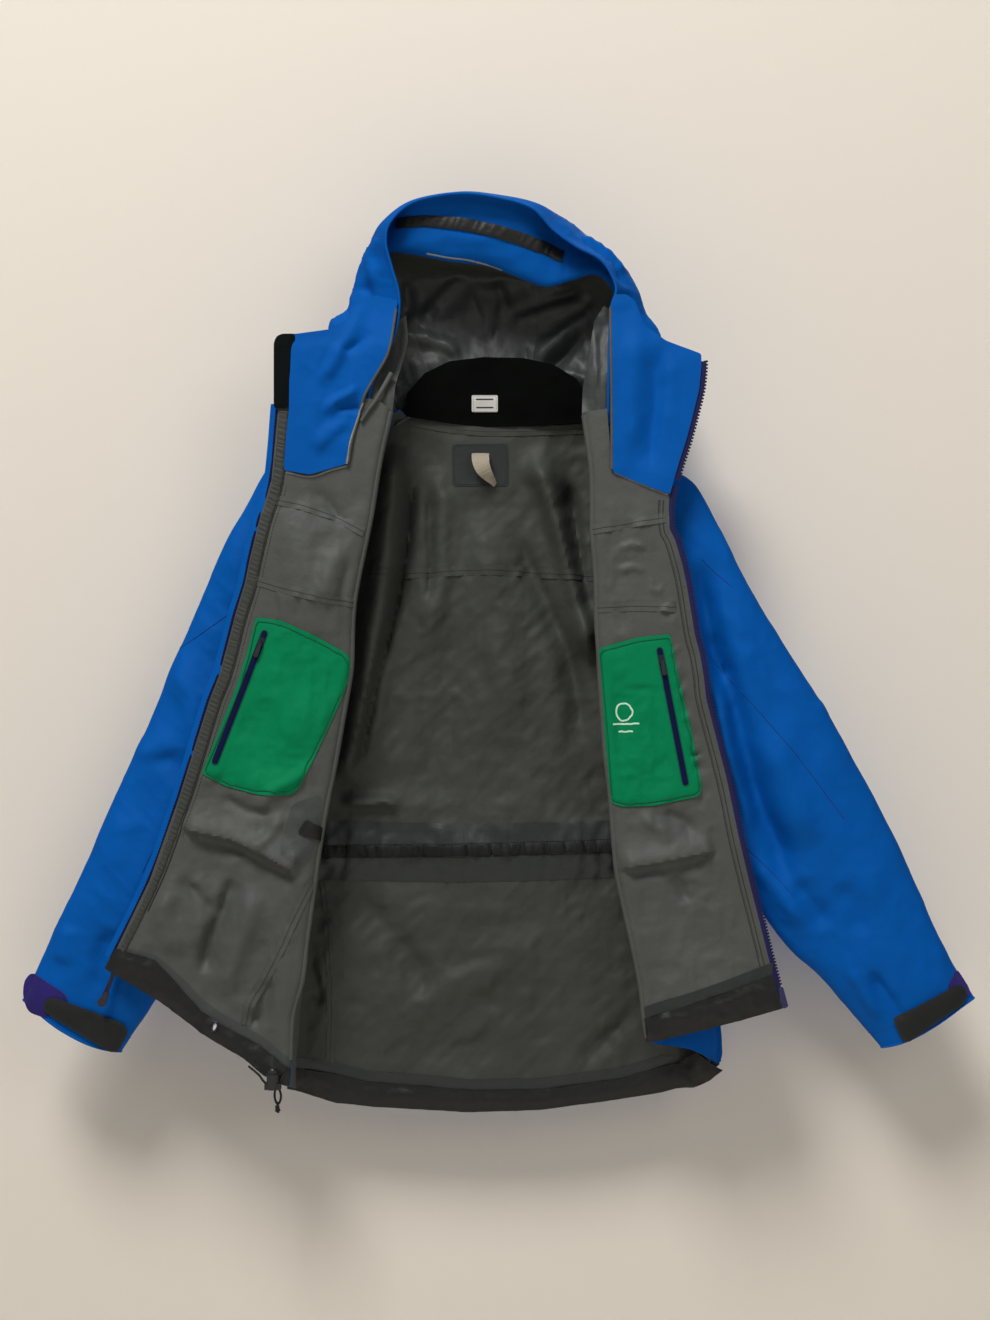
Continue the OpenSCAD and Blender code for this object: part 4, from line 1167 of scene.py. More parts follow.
def build_right_edge():
    """Closing edge of the right front: gathered flap, piping, zip and outer flap."""
    points, normals = surface_path(zip_line(R_ZIP, 6.5, 62, -556), r_front_y, 900, 1.2)
    waver = value_noise(np.arange(len(points)) * 0.21, 0.0, 31)
    width = 10.2 - 3.4 * smooth((-360 - points[:, 2]) / 80) + 1.6 * waver
    # the gathered flap is in the painted-shade copy of the lining
    ribbon("right_storm_flap_gathered", points, normals, width, 1.5, LINING_PAINTED_SHADE, "right_front",
           "lining_grey", "right_storm_flap", arch=0.5, gathers=(0.42, 0.83), uneven=True,
           columns=9)
    band("right_edge_piping", zip_line(R_ZIP, 13.0, 30, -500), r_front_y, 1.5, 1.2, GREY_THREAD,
         "right_front", "lining_grey", lift=0.9, count=260, arch=0.9)
    band("right_zip_tape_edge", zip_line(R_ZIP, -0.6, 61, -560), flat(-65.0), 4.4, 0.8, NAVY,
         "right_front", "zip_tape", "right_zip_tape", lift=-1.3, count=320, arch=0.2)
    zip_teeth("right_zip_teeth_fine", zip_line(R_ZIP, -1.6, 59, -545), flat(-65.0), DARK_TEETH,
              "right_front", "right_zip_teeth", side=-1, lift=-1.8, width=3.8,
              height=1.8)
    inner, outer = (even(zip_line(R_ZIP, offset, 63.5, -562), 200)[:, None]
                    for offset in (4.0, -9.0))
    u = np.linspace(0, 1, 7)[None, :]
    x, z = np.moveaxis(inner * (1 - u[..., None]) + outer * u[..., None], -1, 0)
    y = (-61.6 - 2.2 * np.sin(np.pi * u) + 3.0 * u ** 2
         + wrinkles(x, z, (18, 26), 1.6, seed=33, octaves=2))
    sheet("right_outer_flap", np.stack([x, y, z], -1), 1.4, BLUE, "right_front", "shell_blue")
    stitch_row("right_edge_stitch", zip_line(R_ZIP, 17.5, -20, -420), r_front_y, GREY_THREAD,
               "right_front", "lining_grey", lift=1.0)


def build_left_edge():
    for k, inset in enumerate((6.5, 11.5)):
        band(f"left_edge_piping_{k}", zip_line(L_ZIP, -inset, -40, -585), l_front_y, 1.1, 0.8,
             GREY_THREAD, "left_front", "lining_grey", lift=0.7, count=300, arch=0.9)
    stitch_row("left_edge_stitch", zip_line(L_ZIP, -10, -40, -560), l_front_y, GREY_THREAD,
               "left_front", "lining_grey", lift=0.8)
    band("left_zip_tape_edge", zip_line(L_ZIP, 1.8, -28, -608), flat(-65.0), 6.8, 0.8, PURPLE,
         "left_front", "zip_tape", "left_zip_tape", lift=-0.8, count=320, arch=0.2)
    zip_teeth("left_zip_teeth_fine", zip_line(L_ZIP, 5.0, -28, -592), flat(-65.0), TEETH,
              "left_front", "left_zip_teeth", side=1, lift=-0.8)
    plate("insertion_pin_moulded", rounded([(329.5, -589), (334.5, -588), (340.5, -610),
                                            (336, -612.5), (333, -611)], 1.2),
          flat(-65.0), PIN, "left_front", "zip_tape", "insertion_pin", thickness=3.0, cell=1.3,
          dome=0.4)


def build_front_hems():
    plate("right_hem_tape_film",
          [(-398, -545), (-366, -553), (-338, -577), (-314, -604), (-284, -624), (-252, -642),
           (-216, -669), (-216, -681), (-253, -654), (-286, -636), (-316, -617), (-339, -590),
           (-368, -559), (-404, -548)],
          r_front_y, LIGHT_TAPE, on_right, "hem_black", thickness=0.4, cell=2.6, lift=0.75)
    plate("left_hem_tape_film", raised(L_HEM_TOP, 14) + raised(L_HEM_TOP[::-1], -1), l_front_y,
          TAPE, on_left, "hem_black", thickness=0.5, cell=3, lift=0.95)
    look = dict(thickness=1.8, cell=2.8, lift=0.6, dome=1.6)
    plate("right_hem_facing_sheet", R_HEM_TOP + [(-219, -701)] + R_HEM[::-1], r_hem_y, HEM,
          on_right, "hem_black", "right_front_hem_facing", **look)
    plate("left_hem_facing_sheet", L_HEM_TOP + L_HEM[::-1], l_hem_y, HEM,
          on_left, "hem_black", "left_front_hem_facing", **look)
    stitch_row("right_hem_stitch", [(-370, -561), (-340, -591), (-317, -618), (-287, -637),
                                    (-254, -655)], r_hem_y, CORD, on_right, "hem_black",
               lift=1.6)
    stitch_row("left_hem_stitch", [(324, -580), (249, -604), (186, -625)], l_hem_y, CORD,
               on_left, "hem_black", lift=1.6)

    x, z = -300, -632      # the eyelet
    y = float(r_hem_y(arr([x]), arr([z]))[0]) - 4.6
    angle = np.linspace(0, 2 * math.pi, 33)
    rod("right_hem_eyelet", np.c_[x + 3.0 * np.cos(angle) + 1.2 * np.sin(angle), np.full(33, y),
                                  z + 5.2 * np.sin(angle)],
        1.1, SLIDER, "right_front", sides=8)
    plate("right_hem_eyelet_backing", rounded([(-304, -637), (-299, -638), (-296, -632),
                                               (-297, -626), (-301, -626), (-304, -631)], 3),
          r_hem_y, LABEL, "right_front", "label_white", thickness=0.6, cell=1.2, lift=4.0)


# ---------------------------------------------------------------- pockets
R_POCKET = [(-254, -175), (-226, -179), (-190, -195), (-154, -215), (-148, -225), (-150, -244),
            (-164, -278), (-190, -335), (-207, -367), (-215, -374), (-251, -373), (-288, -364),
            (-315, -350), (-301, -316), (-278, -258), (-264, -215)]
L_POCKET = [(129, -210), (171, -198), (207, -194), (209, -197), (217, -238), (232, -301),
            (244, -365), (241, -375), (188, -386), (154, -387), (143, -383), (136, -318)]


def slot_outline(top, along, long, width, over=1.5):
    """A round-ended slot that runs over past both ends."""
    across = arr([along[1], -along[0]])
    angle = np.linspace(0, math.pi, 9)[:, None]
    arc = across * width / 2 * np.cos(angle) - along * width / 2 * np.sin(angle)
    return np.vstack([top - along * over + arc, top + along * (long + over) - arc])


def build_pockets():
    for side, pocket, surface, place in (("right", R_POCKET, r_front_y, on_right),
                                         ("left", L_POCKET, l_front_y, on_left)):
        outline = rounded(pocket, 5)
        plate(side + "_pocket_sheet", outline, surface, GREEN, place, "pocket_green",
              side + "_inner_pocket", thickness=1.1, cell=2.4, lift=1.5, dome=1.0)
        spokes = outline - arr(pocket).mean(0)
        inner = outline - 4.2 * unit(spokes)
        band(side + "_pocket_bond_line", np.vstack([inner, inner[:1]]), surface, 1.0, 0.35,
             GREEN_THREAD, place, "pocket_green", lift=3.1, **FINE)

    for side, top, direction, long, surface in (
            ("right", (-245, -195), (-54, -140), 150, r_front_y),
            ("left", (197, -214), (28, -144), 147, l_front_y)):
        top, along, body = arr(top), unit(direction), side + "_front"
        plate(side + "_pocket_zip_garage", slot_outline(top, along, long, 6.5), surface, NAVY,
              body, "zip_tape", side + "_pocket_zip", thickness=0.5, cell=1.6, lift=3.3)
        band(side + "_pocket_coil", [top, top + along * long], surface, 3.4, 0.5, NAVY, body,
             "zip_tape", lift=3.4, count=620, arch=0.55, gathers=(0.12, 1.9))
        edge = slot_outline(top, along, long, 8.0)
        band(side + "_pocket_zip_edge", np.vstack([edge, edge[:1]]), surface, 0.8, 0.4,
             GREEN_THREAD, body, "pocket_green", lift=3.2, count=180, **FINE)

    # a printed mark: a ring over two bars
    ring = [(157 + 9.5 * math.cos(t), -281 + 9.5 * math.sin(t))
            for t in np.linspace(0, 2 * math.pi, 41)]
    for name, path in (("ring", ring), ("bar", [(144, -295), (174, -294)]),
                       ("bar_low", [(150, -303), (168, -302.5)])):
        band("left_pocket_print_" + name, path, l_front_y, 1.9, 0.3, PRINT, on_left,
             "label_white", lift=3.1, count=41, arch=0.2, columns=5)


# ---------------------------------------------------------------- collars
R_COLLAR_FOLDS = [   # (path, width, height, end share, right width)
    ([(-132, 186), (-141, 158), (-156, 129), (-170, 105), (-183, 81)], 8, 6, 0.2, 6),
    ([(-124, 146), (-141, 131), (-160, 119)], 6, -7, 0.2, 8),
    ([(-138, 84), (-150, 74), (-166, 66), (-180, 50)], 7, 5, 0.25, 4),
    ([(-134, 58), (-152, 60), (-168, 58)], 5, -5, 0.25),
    ([(-148, 46), (-168, 32), (-192, 10)], 6, 4, 0.25, 9),
    ([(-204, 120), (-200, 80), (-206, 30)], 9, -3, 0.3),
]
L_COLLAR_FOLDS = [
    ([(196, 132), (194, 80), (188, 20), (182, -18)], 7, -6, 0.2, 14),
    ([(172, 150), (168, 80), (164, 10)], 12, 4, 0.2),
    ([(214, 126), (214, 80), (206, 30)], 10, 3.5, 0.3),
]
R_COLLAR = [(-216, 141), (-209, 141), (-172, 146), (-152, 158), (-147, 179), (-122, 186),
            (-96, 180), (-104, 129), (-110, 112), (-132, 74), (-140, 46), (-147, 23), (-151, -2),
            (-153, -4), (-194, -16), (-223, -11), (-220, 30), (-217, 58)]
L_COLLAR = [(146, 186), (160, 186), (169, 179), (180, 151), (203, 134), (243, 118.5), (243, 103),
            (240.5, 79), (232.5, 46), (226, 22), (217, -6), (208, -38), (175, -26), (144, -13),
            (143, 60), (142, 130), (141, 172)]


def r_collar_y(x, z):
    relief = (creases(x, z, (34, 44), 3.0, seed=61, octaves=3)
              + wrinkles(x, z, (70, 80), 5, seed=63, octaves=2) + folds(x, z, R_COLLAR_FOLDS))
    relief = (relief * smooth((x + 222) / 40) + 1.0) * smooth((z + 14) / 16)
    relief = relief * (0.35 + 0.65 * smooth((142 - z) / 20))
    return -67.4 - relief + 8 * smooth((z - 120) / 60) * smooth((x + 190) / 60)


def l_collar_y(x, z):
    relief = (wrinkles(x, z, (60, 120), 6, seed=65) + creases(x, z, (30, 40), 1.6, seed=67)
              + folds(x, z, L_COLLAR_FOLDS))
    relief = (relief * smooth((236 - x) / 40) + 1.0) * smooth((z + 30) / 22)
    return -67.8 - relief + 6 * smooth((z - 110) / 60)


def on_right_collar(obj):
    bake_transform(obj)


def on_left_collar(obj):
    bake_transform(obj)


def build_collars():
    plate("right_collar_sheet", rounded(R_COLLAR, 2.5, 4), r_collar_y, BLUE, on_right_collar,
          "shell_blue", "right_collar", thickness=2.0, cell=2.6)
    plate("right_chin_guard_fleece", rounded([(-234, 131), (-231, 138), (-225, 141), (-210, 141),
                                              (-212, 104), (-217.5, 58), (-234, 58)], 4),
          flat(-67.8), FLEECE, "right_collar", "fleece_black", "right_chin_guard",
          thickness=2.6, cell=2.2, dome=1.4)
    plate("left_collar_sheet", rounded(L_COLLAR, 2.5, 4), l_collar_y, BLUE, on_left_collar,
          "shell_blue", "left_collar", thickness=2.0, cell=2.6)
    band("left_collar_zip_tape", zip_line(L_ZIP, 2.0, 118, -27), flat(-67.8), 7.2, 0.8, PURPLE,
         "left_collar", "zip_tape", lift=-0.8, count=90, arch=0.2)
    zip_teeth("left_collar_teeth_fine", zip_line(L_ZIP, 5.2, 118, -27), flat(-67.8), TEETH,
              "left_collar", "left_collar_zip", side=1, lift=-0.8)

    # glued lower edges of the collar facings, and rolled inner edges
    for side, path, surface in (
            ("right", [(-221, -13), (-194, -18), (-172, -11), (-153, -6)], r_front_y),
            ("left", [(146, -13), (175, -26), (206, -38)], l_front_y)):
        band(side + "_collar_glue_edge", path, surface, ragged(2.2, 1.6, 0.45, 95), 0.7, GLUE,
             side + "_front", "lining_grey", lift=1.0, arch=0.5)
    for side, path, surface in (
            ("right", [(-151, -2), (-147, 23), (-140, 46), (-132, 74), (-110, 112), (-104, 129),
                       (-98, 170)], r_collar_y),
            ("left", [(143, -10), (143, 60), (142, 130), (142, 172)], l_collar_y)):
        rod(side + "_collar_inner_edge", surface_path(path, surface)[0], 1.7, LINING,
            side + "_collar", sides=8)
    band("right_collar_glue_upper", [(-152.5, -4), (-149, 20), (-142, 42), (-134, 64)],
         r_collar_y, ragged(1.4, 2.2, 0.5, 96), 0.7, GLUE, "right_collar", "lining_grey",
         lift=1.4, arch=0.5)


def r_neck_fold_y(x, z):
    return -58.0 + 30 * smooth((z - 70) / 70) - creases(x, z, (14, 30), 4, seed=97, octaves=3)


def l_neck_fold_y(x, z):
    return (-60.0 + 26 * smooth((z - 90) / 70) - creases(x, z, (12, 60), 4, seed=99, octaves=3)
            + 10 * smooth((124 - x) / 14) * smooth((z - 40) / 40))


def build_neck_folds():
    plate("right_neck_fold", [(-103, 50), (-99, 85), (-92, 112), (-86, 140), (-88, 168),
                              (-102, 160), (-108, 129), (-114, 112), (-136, 74), (-140, 58)],
          r_neck_fold_y, LINING, "torso", "lining_grey", thickness=1.3, cell=2.6)
    points, _ = surface_path([(-136.5, 44), (-128.5, 56), (-118.5, 70), (-103.1, 98)],
                             lambda x, z: -67.5 + 8 * smooth((z - 60) / 50), lift=0.4)
    rod("right_neck_fold_edge", points, np.linspace(2.0, 3.2, len(points)), LINING, "torso")
    # the left neck fold is in the deep painted-shade copy of the lining
    plate("left_neck_fold", [(110, 48), (112, 84), (119, 120), (125, 160), (136, 178),
                             (146, 172), (146, 60), (145, 42)],
          l_neck_fold_y, LINING_DEEP_PAINTED_SHADE, "torso", "lining_grey", thickness=1.3, cell=2.6)


# ---------------------------------------------------------------- hood
HOOD_COLUMNS, HOOD_ROWS = 257, 104      # along each arch, and from the opening to the neck
ARCH_SHARES = [0.0, 0.13, 0.36, 0.50, 1.0]
# Arches from the right neck over the top to the left neck: (x, z) as seen from the eye in the
# plane y = 0, then the true depth y of each point.
HOOD_OPENING = ([(-138, 50), (-128, 96), (-108, 137), (-99, 168), (-98, 198), (-106, 228),
                 (-113, 258), (-107, 282), (-80, 304), (-29, 313.5), (15, 309), (55, 297),
                 (80, 272), (106, 253), (136, 236), (152, 206), (146, 178), (144, 120), (143, 50)],
                [-61, -62, -60, -57, -55, -56, -58, -60, -62, -63, -63, -61, -57, -54, -54, -56,
                 -58, -62, -61])
HOOD_WIDEST = ([(-152, 44), (-168, 96), (-177, 160), (-156, 176), (-149, 206), (-140, 238),
                (-131, 256), (-117, 279), (-84, 301), (-29, 310), (15, 307), (60, 298),
                (90, 283), (119, 265), (146, 244), (169, 214), (184, 178), (204, 140), (184, 46)],
               [-36, -24, -18, -12, -8, -6, -8, -16, -42, -46, -46, -40, -20, -12, -10, -10, -12,
                -20, -36])
HOOD_BRIM_END = ([(-140, 46), (-140, 100), (-138, 150), (-134, 185), (-128, 210), (-124, 230),
                  (-118, 243), (-106, 248), (-82, 246), (-40, 238), (5, 232), (45, 217),
                  (72, 208), (100, 215), (128, 222), (146, 208), (156, 180), (160, 130),
                  (156, 46)],
                 [-20, -26, -18, -10, -6, -6, -14, -26, -32, -32, -30, -28, -26, -24, -20, -12,
                  -10, -20, -20])
# true (x, y, z)
HOOD_CROWN = [(-110, 6, 46), (-112, 10, 72), (-124, 16, 108), (-130, 22, 142), (-130, 27, 172),
              (-122, 31, 194), (-108, 35, 210), (-88, 38, 221), (-60, 41, 228), (-28, 43, 231),
              (6, 43, 232), (40, 42, 230), (70, 40, 224), (98, 36, 214), (120, 31, 199),
              (134, 27, 176), (138, 22, 140), (134, 13, 90), (130, 6, 46)]
CROWN_FOLDS = [   # (path, width, height, end share, right width)
    ([(-20, 232), (-40, 214), (-60, 192), (-76, 160)], 9, 9, 0.2, 5),
    ([(-92, 222), (-88, 196), (-96, 168)], 8, -9, 0.2),
    ([(30, 182), (52, 188), (76, 198), (114, 209)], 4, -9, 0.15, 10),
    ([(26, 168), (60, 178), (98, 190), (126, 198)], 7, 9, 0.2),
    ([(142, 192), (116, 172), (88, 150), (54, 122)], 13, 13, 0.15, 8),
    ([(120, 160), (96, 136), (70, 112)], 7, -9, 0.2),
    ([(66, 100), (100, 88), (132, 72)], 5, -8, 0.2),
    ([(84, 110), (112, 104), (136, 92)], 6, 8, 0.2),
    ([(-100, 150), (-74, 146), (-48, 140), (-28, 128)], 8, 12, 0.12, 4),
    ([(-88, 110), (-66, 118), (-40, 116)], 10, 6, 0.25),
    ([(-10, 215), (8, 180), (4, 150)], 7, -8, 0.2),
    ([(14, 222), (24, 196), (20, 170)], 6, 6, 0.25),
]
HOOD_SIDE_FOLDS = [
    ([(-118, 262), (-128, 232), (-122, 200)], 6, 5, 0.2),
    ([(-140, 210), (-128, 190), (-120, 160)], 6, -5, 0.2),
    ([(110, 262), (140, 240), (160, 214)], 5, 4, 0.2),
    ([(120, 248), (146, 226), (160, 196)], 4, -4, 0.2),
]


def arch_curve(points):
    """A curve with each span between points given the same number of steps."""
    points = arr(points)
    place = np.linspace(0, len(points) - 1, HOOD_COLUMNS)
    i = np.clip(place.astype(int), 0, len(points) - 2)
    line = padded(points)
    before, start, end, after = (line[i + k] for k in range(4))
    return hermite((place - i)[:, None], start, (end - before) / 2, end, (after - start) / 2)


def seen_arch(points, depths):
    """An arch moved from the plane y = 0 to its depths along the lines of sight."""
    (x, z), y = arr(points).T, arr(depths)
    scale = (EYE_DISTANCE + y) / EYE_DISTANCE
    return arch_curve(np.c_[EYE_X + (x - EYE_X) * scale, y, EYE_Z + (z - EYE_Z) * scale])


def neck_arch():
    u = np.linspace(0, 1, HOOD_COLUMNS)
    x = -104 + 230 * u
    y = np.interp(u, [0, 0.05, 0.95, 1], [6, 14, 14, 6]) + 2 * np.sin(np.pi * u)
    return np.c_[x, y, np.interp(x, [-104, -88, -40, 4, 60, 122, 126],
                                 [46, 51, 43, 39, 40, 44, 44])]


def relax(grid, passes, first_row):
    for _ in range(passes):
        result = grid.copy()
        result[first_row:-1, 1:-1] = (
            grid[first_row - 1:-2, 1:-1] + grid[first_row + 1:, 1:-1]
            + grid[first_row:-1, :-2] + grid[first_row:-1, 2:]
            + 2 * grid[first_row:-1, 1:-1]) / 6
        grid = result
    return grid


def grid_normals(grid):
    return unit(np.cross(np.gradient(grid, axis=1), np.gradient(grid, axis=0)))


def hood_normals(grid):
    """Normals towards the inside of the hood."""
    normals = grid_normals(grid)
    return -normals if normals[int(HOOD_ROWS * 0.75), HOOD_COLUMNS // 2, 1] > 0 else normals


def hood_grid():
    arches = [seen_arch(*HOOD_OPENING), seen_arch(*HOOD_WIDEST), seen_arch(*HOOD_BRIM_END),
              arch_curve(HOOD_CROWN), neck_arch()]
    rows = np.linspace(0, 1, HOOD_ROWS)
    last = len(arches) - 2
    grid = np.zeros((HOOD_ROWS, HOOD_COLUMNS, 3))
    for i, row in enumerate(rows):
        j = min(last, int(np.searchsorted(ARCH_SHARES, row, side="right")) - 1)
        low, high = ARCH_SHARES[j:j + 2]
        span = high - low
        start, end = arches[j], arches[j + 1]
        leave, arrive = (end - start) * 0.8, (end - start) * 0.9
        if j > 0:
            leave = (end - arches[j - 1]) / (high - ARCH_SHARES[j - 1]) * span
        if j < last:
            arrive = (arches[j + 2] - start) / (ARCH_SHARES[j + 2] - low) * span
        grid[i] = hermite((row - low) / span, start, leave, end, arrive)
    grid = relax(grid, 36, int(0.43 * HOOD_ROWS))

    normals = hood_normals(grid)
    x, z = grid[..., 0], grid[..., 2]
    across = np.linspace(0, 1, HOOD_COLUMNS)[None, :]
    depth = rows[:, None]
    crown_mask = (smooth((depth - 0.38) / 0.14) * smooth((1 - depth) / 0.10)
                  * smooth(across / 0.06) * smooth((1 - across) / 0.06))
    side_mask = ((smooth((0.376 - across) / 0.06) + smooth((across - 0.642) / 0.06))
                 * smooth(depth / 0.05) * smooth((0.36 - depth) / 0.1))
    brim_mask = smooth((depth - 0.15) / 0.06) * smooth((0.37 - depth) / 0.08) * (1 - side_mask)
    crown = (creases(x, z, (26, 22), 4.5, seed=101, octaves=3)
             + wrinkles(x, z, (60, 50), 9, seed=103, octaves=2) + 4 + folds(x, z, CROWN_FOLDS))
    sides = (creases(x, z, (20, 26), 3.0, seed=105, octaves=3)
             + wrinkles(x, z, (40, 50), 4, seed=107, octaves=2) + folds(x, z, HOOD_SIDE_FOLDS))
    brim = wrinkles(x, z, (34, 20), 4, seed=109, octaves=2)
    relief = crown_mask * crown - side_mask * sides + brim_mask * brim
    grid = relax(grid + normals * relief[..., None], 4, int(0.40 * HOOD_ROWS))
    y = grid[..., 1]
    grid[..., 1] = np.where(y > 38, 38 + 5 * np.tanh((y - 38) / 5), y)    # flatten the rear
    return grid, hood_normals(grid), int(np.searchsorted(rows, 0.36))


HOOD, HOOD_IN, BRIM_ROW = hood_grid()


def on_hood(obj):
    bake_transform(obj)


def hood_track(path, lift, rows=(0.10, 0.42)):
    """A line on the inner face that the eye sees at path, given in the plane y = 0."""
    span = slice(int(rows[0] * HOOD_ROWS), int(rows[1] * HOOD_ROWS))
    points, inward = HOOD[span].reshape(-1, 3), HOOD_IN[span].reshape(-1, 3)
    scale = EYE_DISTANCE / (EYE_DISTANCE + points[:, 1])
    seen_x = EYE_X + (points[:, 0] - EYE_X) * scale
    seen_z = EYE_Z + (points[:, 2] - EYE_Z) * scale
    line, normals = [], []
    for x, z in smooth_line(path, 160):
        square = (seen_x - x) ** 2 + (seen_z - z) ** 2
        near = np.argsort(square)[:6]
        weight = 1 / (square[near] + 0.5)
        weight /= weight.sum()
        line.append((points[near] * weight[:, None]).sum(0))
        normals.append(unit((inward[near] * weight[:, None]).sum(0)))
    line, normals = arr(line), arr(normals)
    for _ in range(4):
        for values in (line, normals):
            values[1:-1] = (values[:-2] + values[1:-1] * 2 + values[2:]) / 4
    return line + normals * lift, normals


def build_hood():
    sheet("hood_brim_sheet", HOOD[:BRIM_ROW + 1], 2.0, BLUE, on_hood, "shell_blue",
          "hood_brim", flip=True)
    seams = 89, 167      # grid columns
    for name, first, last in (("right_hood_side", 0, seams[0]), ("hood_crown", *seams),
                              ("left_hood_side", seams[1], HOOD_COLUMNS - 1)):
        grid = HOOD[BRIM_ROW:, first:last + 1]
        front_slots = np.zeros((grid.shape[0] - 1, grid.shape[1] - 1), int)
        front_slots[:int(HOOD_ROWS * 0.10)] = 3      # the band next to the brim takes the lighter painted-shade copy of the lining, the rest the deeper one
        sheet(name + "_sheet", grid, 1.3, [LINING_DEEP_PAINTED_SHADE, BLUE, BLUE, LINING_PAINTED_SHADE], on_hood,
              "shell_blue", name, flip=True, front_slots=front_slots.reshape(-1))

    brim = [(-99, 279), (-60, 281), (-20, 277), (24, 267), (60, 254), (90, 240)]
    width = np.interp(np.linspace(0, 1, 160), [0, 0.06, 0.5, 1], [11, 13, 14.5, 14.5])
    ribbon("hood_brim_cord_tape", *hood_track(brim, 1.4), width, 1.6, HEM, on_hood, "hem_black",
           arch=0.4, gathers=(0.45, 0.8), uneven=True, columns=9)
    for k, dz in enumerate((5.8, -5.8)):
        ribbon(f"hood_brim_tape_edge_{k}", *hood_track(raised(brim, dz), 2.2), 1.0, 0.5, CORD,
               on_hood, "hem_black", **FINE)
    glue = [(-66, 245), (-40, 240), (-10, 236), (20, 227), (48, 216), (72, 208)]
    ribbon("hood_facing_glue_edge", *hood_track(glue, 1.2, rows=(0.28, 0.44)),
           ragged(1.6, 2.4, 0.35, 111)(160), 0.6, GLUE, on_hood, "lining_grey", arch=0.5,
           columns=5)
    rod("hood_brim_edge_roll", HOOD[0], 1.7, BLUE, on_hood, sides=8)
    rod("hood_neck_seam_roll", HOOD[-1, 16:-16:2] + arr([0, 1.6, 1.0]), 1.8, BLUE, on_hood,
        sides=8)

    first = int(0.38 * HOOD_ROWS)
    for k, column in enumerate(seams):
        line, inward = HOOD[first:-2, column], HOOD_IN[first:-2, column]
        ribbon(f"hood_seam_tape_{k}", line + inward * 0.9, inward, 12, 0.5, LINING_DEEP_PAINTED_SHADE,
               on_hood, "lining_grey", arch=0.2)
        line, inward = HOOD[3:-2, column], HOOD_IN[3:-2, column]
        ribbon(f"hood_seam_out_{k}", line - inward * 0.75, -inward, 1.5, 0.6, BLUE_THREAD,
               on_hood, "shell_blue", **FINE)
    for k, share in enumerate((0.36, 0.14)):
        row = int(share * HOOD_ROWS)
        line, inward = HOOD[row, 6:-6], HOOD_IN[row, 6:-6]
        ribbon(f"hood_stitch_out_{k}", line - inward * 0.8, -inward, 1.4, 0.5, BLUE_THREAD,
               on_hood, "shell_blue", **FINE)


# ---------------------------------------------------------------- sleeves
SIDES = {"right": -1, "left": 1}
# stations down each sleeve: outer x, outer z, inner x, inner z, half depth
SLEEVE_STATIONS = {
    "right": [(-232, 12, -184, -196, 14), (-250, -10, -190, -206, 16), (-271, -50, -192, -232, 19),
              (-298, -101, -196, -262, 22), (-346, -209, -216, -320, 25),
              (-380, -291, -246, -394, 25), (-420, -382, -287, -474, 24),
              (-460, -473, -335, -548, 22), (-494, -542, -375, -608, 20),
              (-524, -609, -414, -670, 17)],
    "left": [(214, -6, 196, -200, 14), (240, -24, 208, -210, 16), (268, -72, 212, -236, 19),
             (290, -118, 216, -262, 22), (332, -192, 230, -318, 25), (376, -262, 258, -394, 25),
             (430, -355, 297, -478, 24), (480, -455, 345, -548, 22), (519, -542, 390, -590, 20),
             (557, -607, 454, -665, 17)],
}
SLEEVE_FOLDS = {   # (path, width, height, end share, right width)
    "right": [
        ([(-405, -332), (-375, -326), (-338, -316)], 18, 3, 0.35, 9),
        ([(-428, -418), (-402, -412), (-374, -404)], 16, 2.5, 0.35, 9),
        ([(-380, -330), (-352, -338), (-330, -360)], 12, -2.5, 0.3),
        ([(-352, -210), (-330, -280), (-318, -350)], 16, 4, 0.3),
        ([(-420, -520), (-432, -560), (-440, -610)], 12, -4, 0.3),
        ([(-470, -520), (-480, -570)], 14, 4, 0.3),
        ([(-452, -618), (-440, -640), (-430, -655)], 7, -3, 0.3),
    ],
    "left": [
        ([(258, -240), (268, -275), (275, -321), (288, -364), (306, -420)], 9, 8, 0.2),
        ([(240, -104), (257, -189), (283, -270), (300, -338), (312, -384), (334, -435),
          (350, -490)], 13, -12, 0.15, 18),
        ([(322, -300), (344, -370), (372, -440)], 18, 5, 0.3),
        ([(250, -190), (262, -225), (280, -250)], 9, -5, 0.3),
        ([(300, -440), (330, -480), (366, -528)], 12, 5, 0.3),
        ([(345, -470), (372, -500), (392, -530)], 12, -5, 0.3),
        ([(436, -571), (458, -604), (480, -637)], 6, -4.5, 0.25, 10),
        ([(404, -560), (430, -596), (452, -640)], 8, 4, 0.3),
        ([(400, -470), (420, -500), (428, -540)], 14, -4, 0.3),
        ([(376, -270), (396, -284)], 6, 2, 0.3),
    ],
}


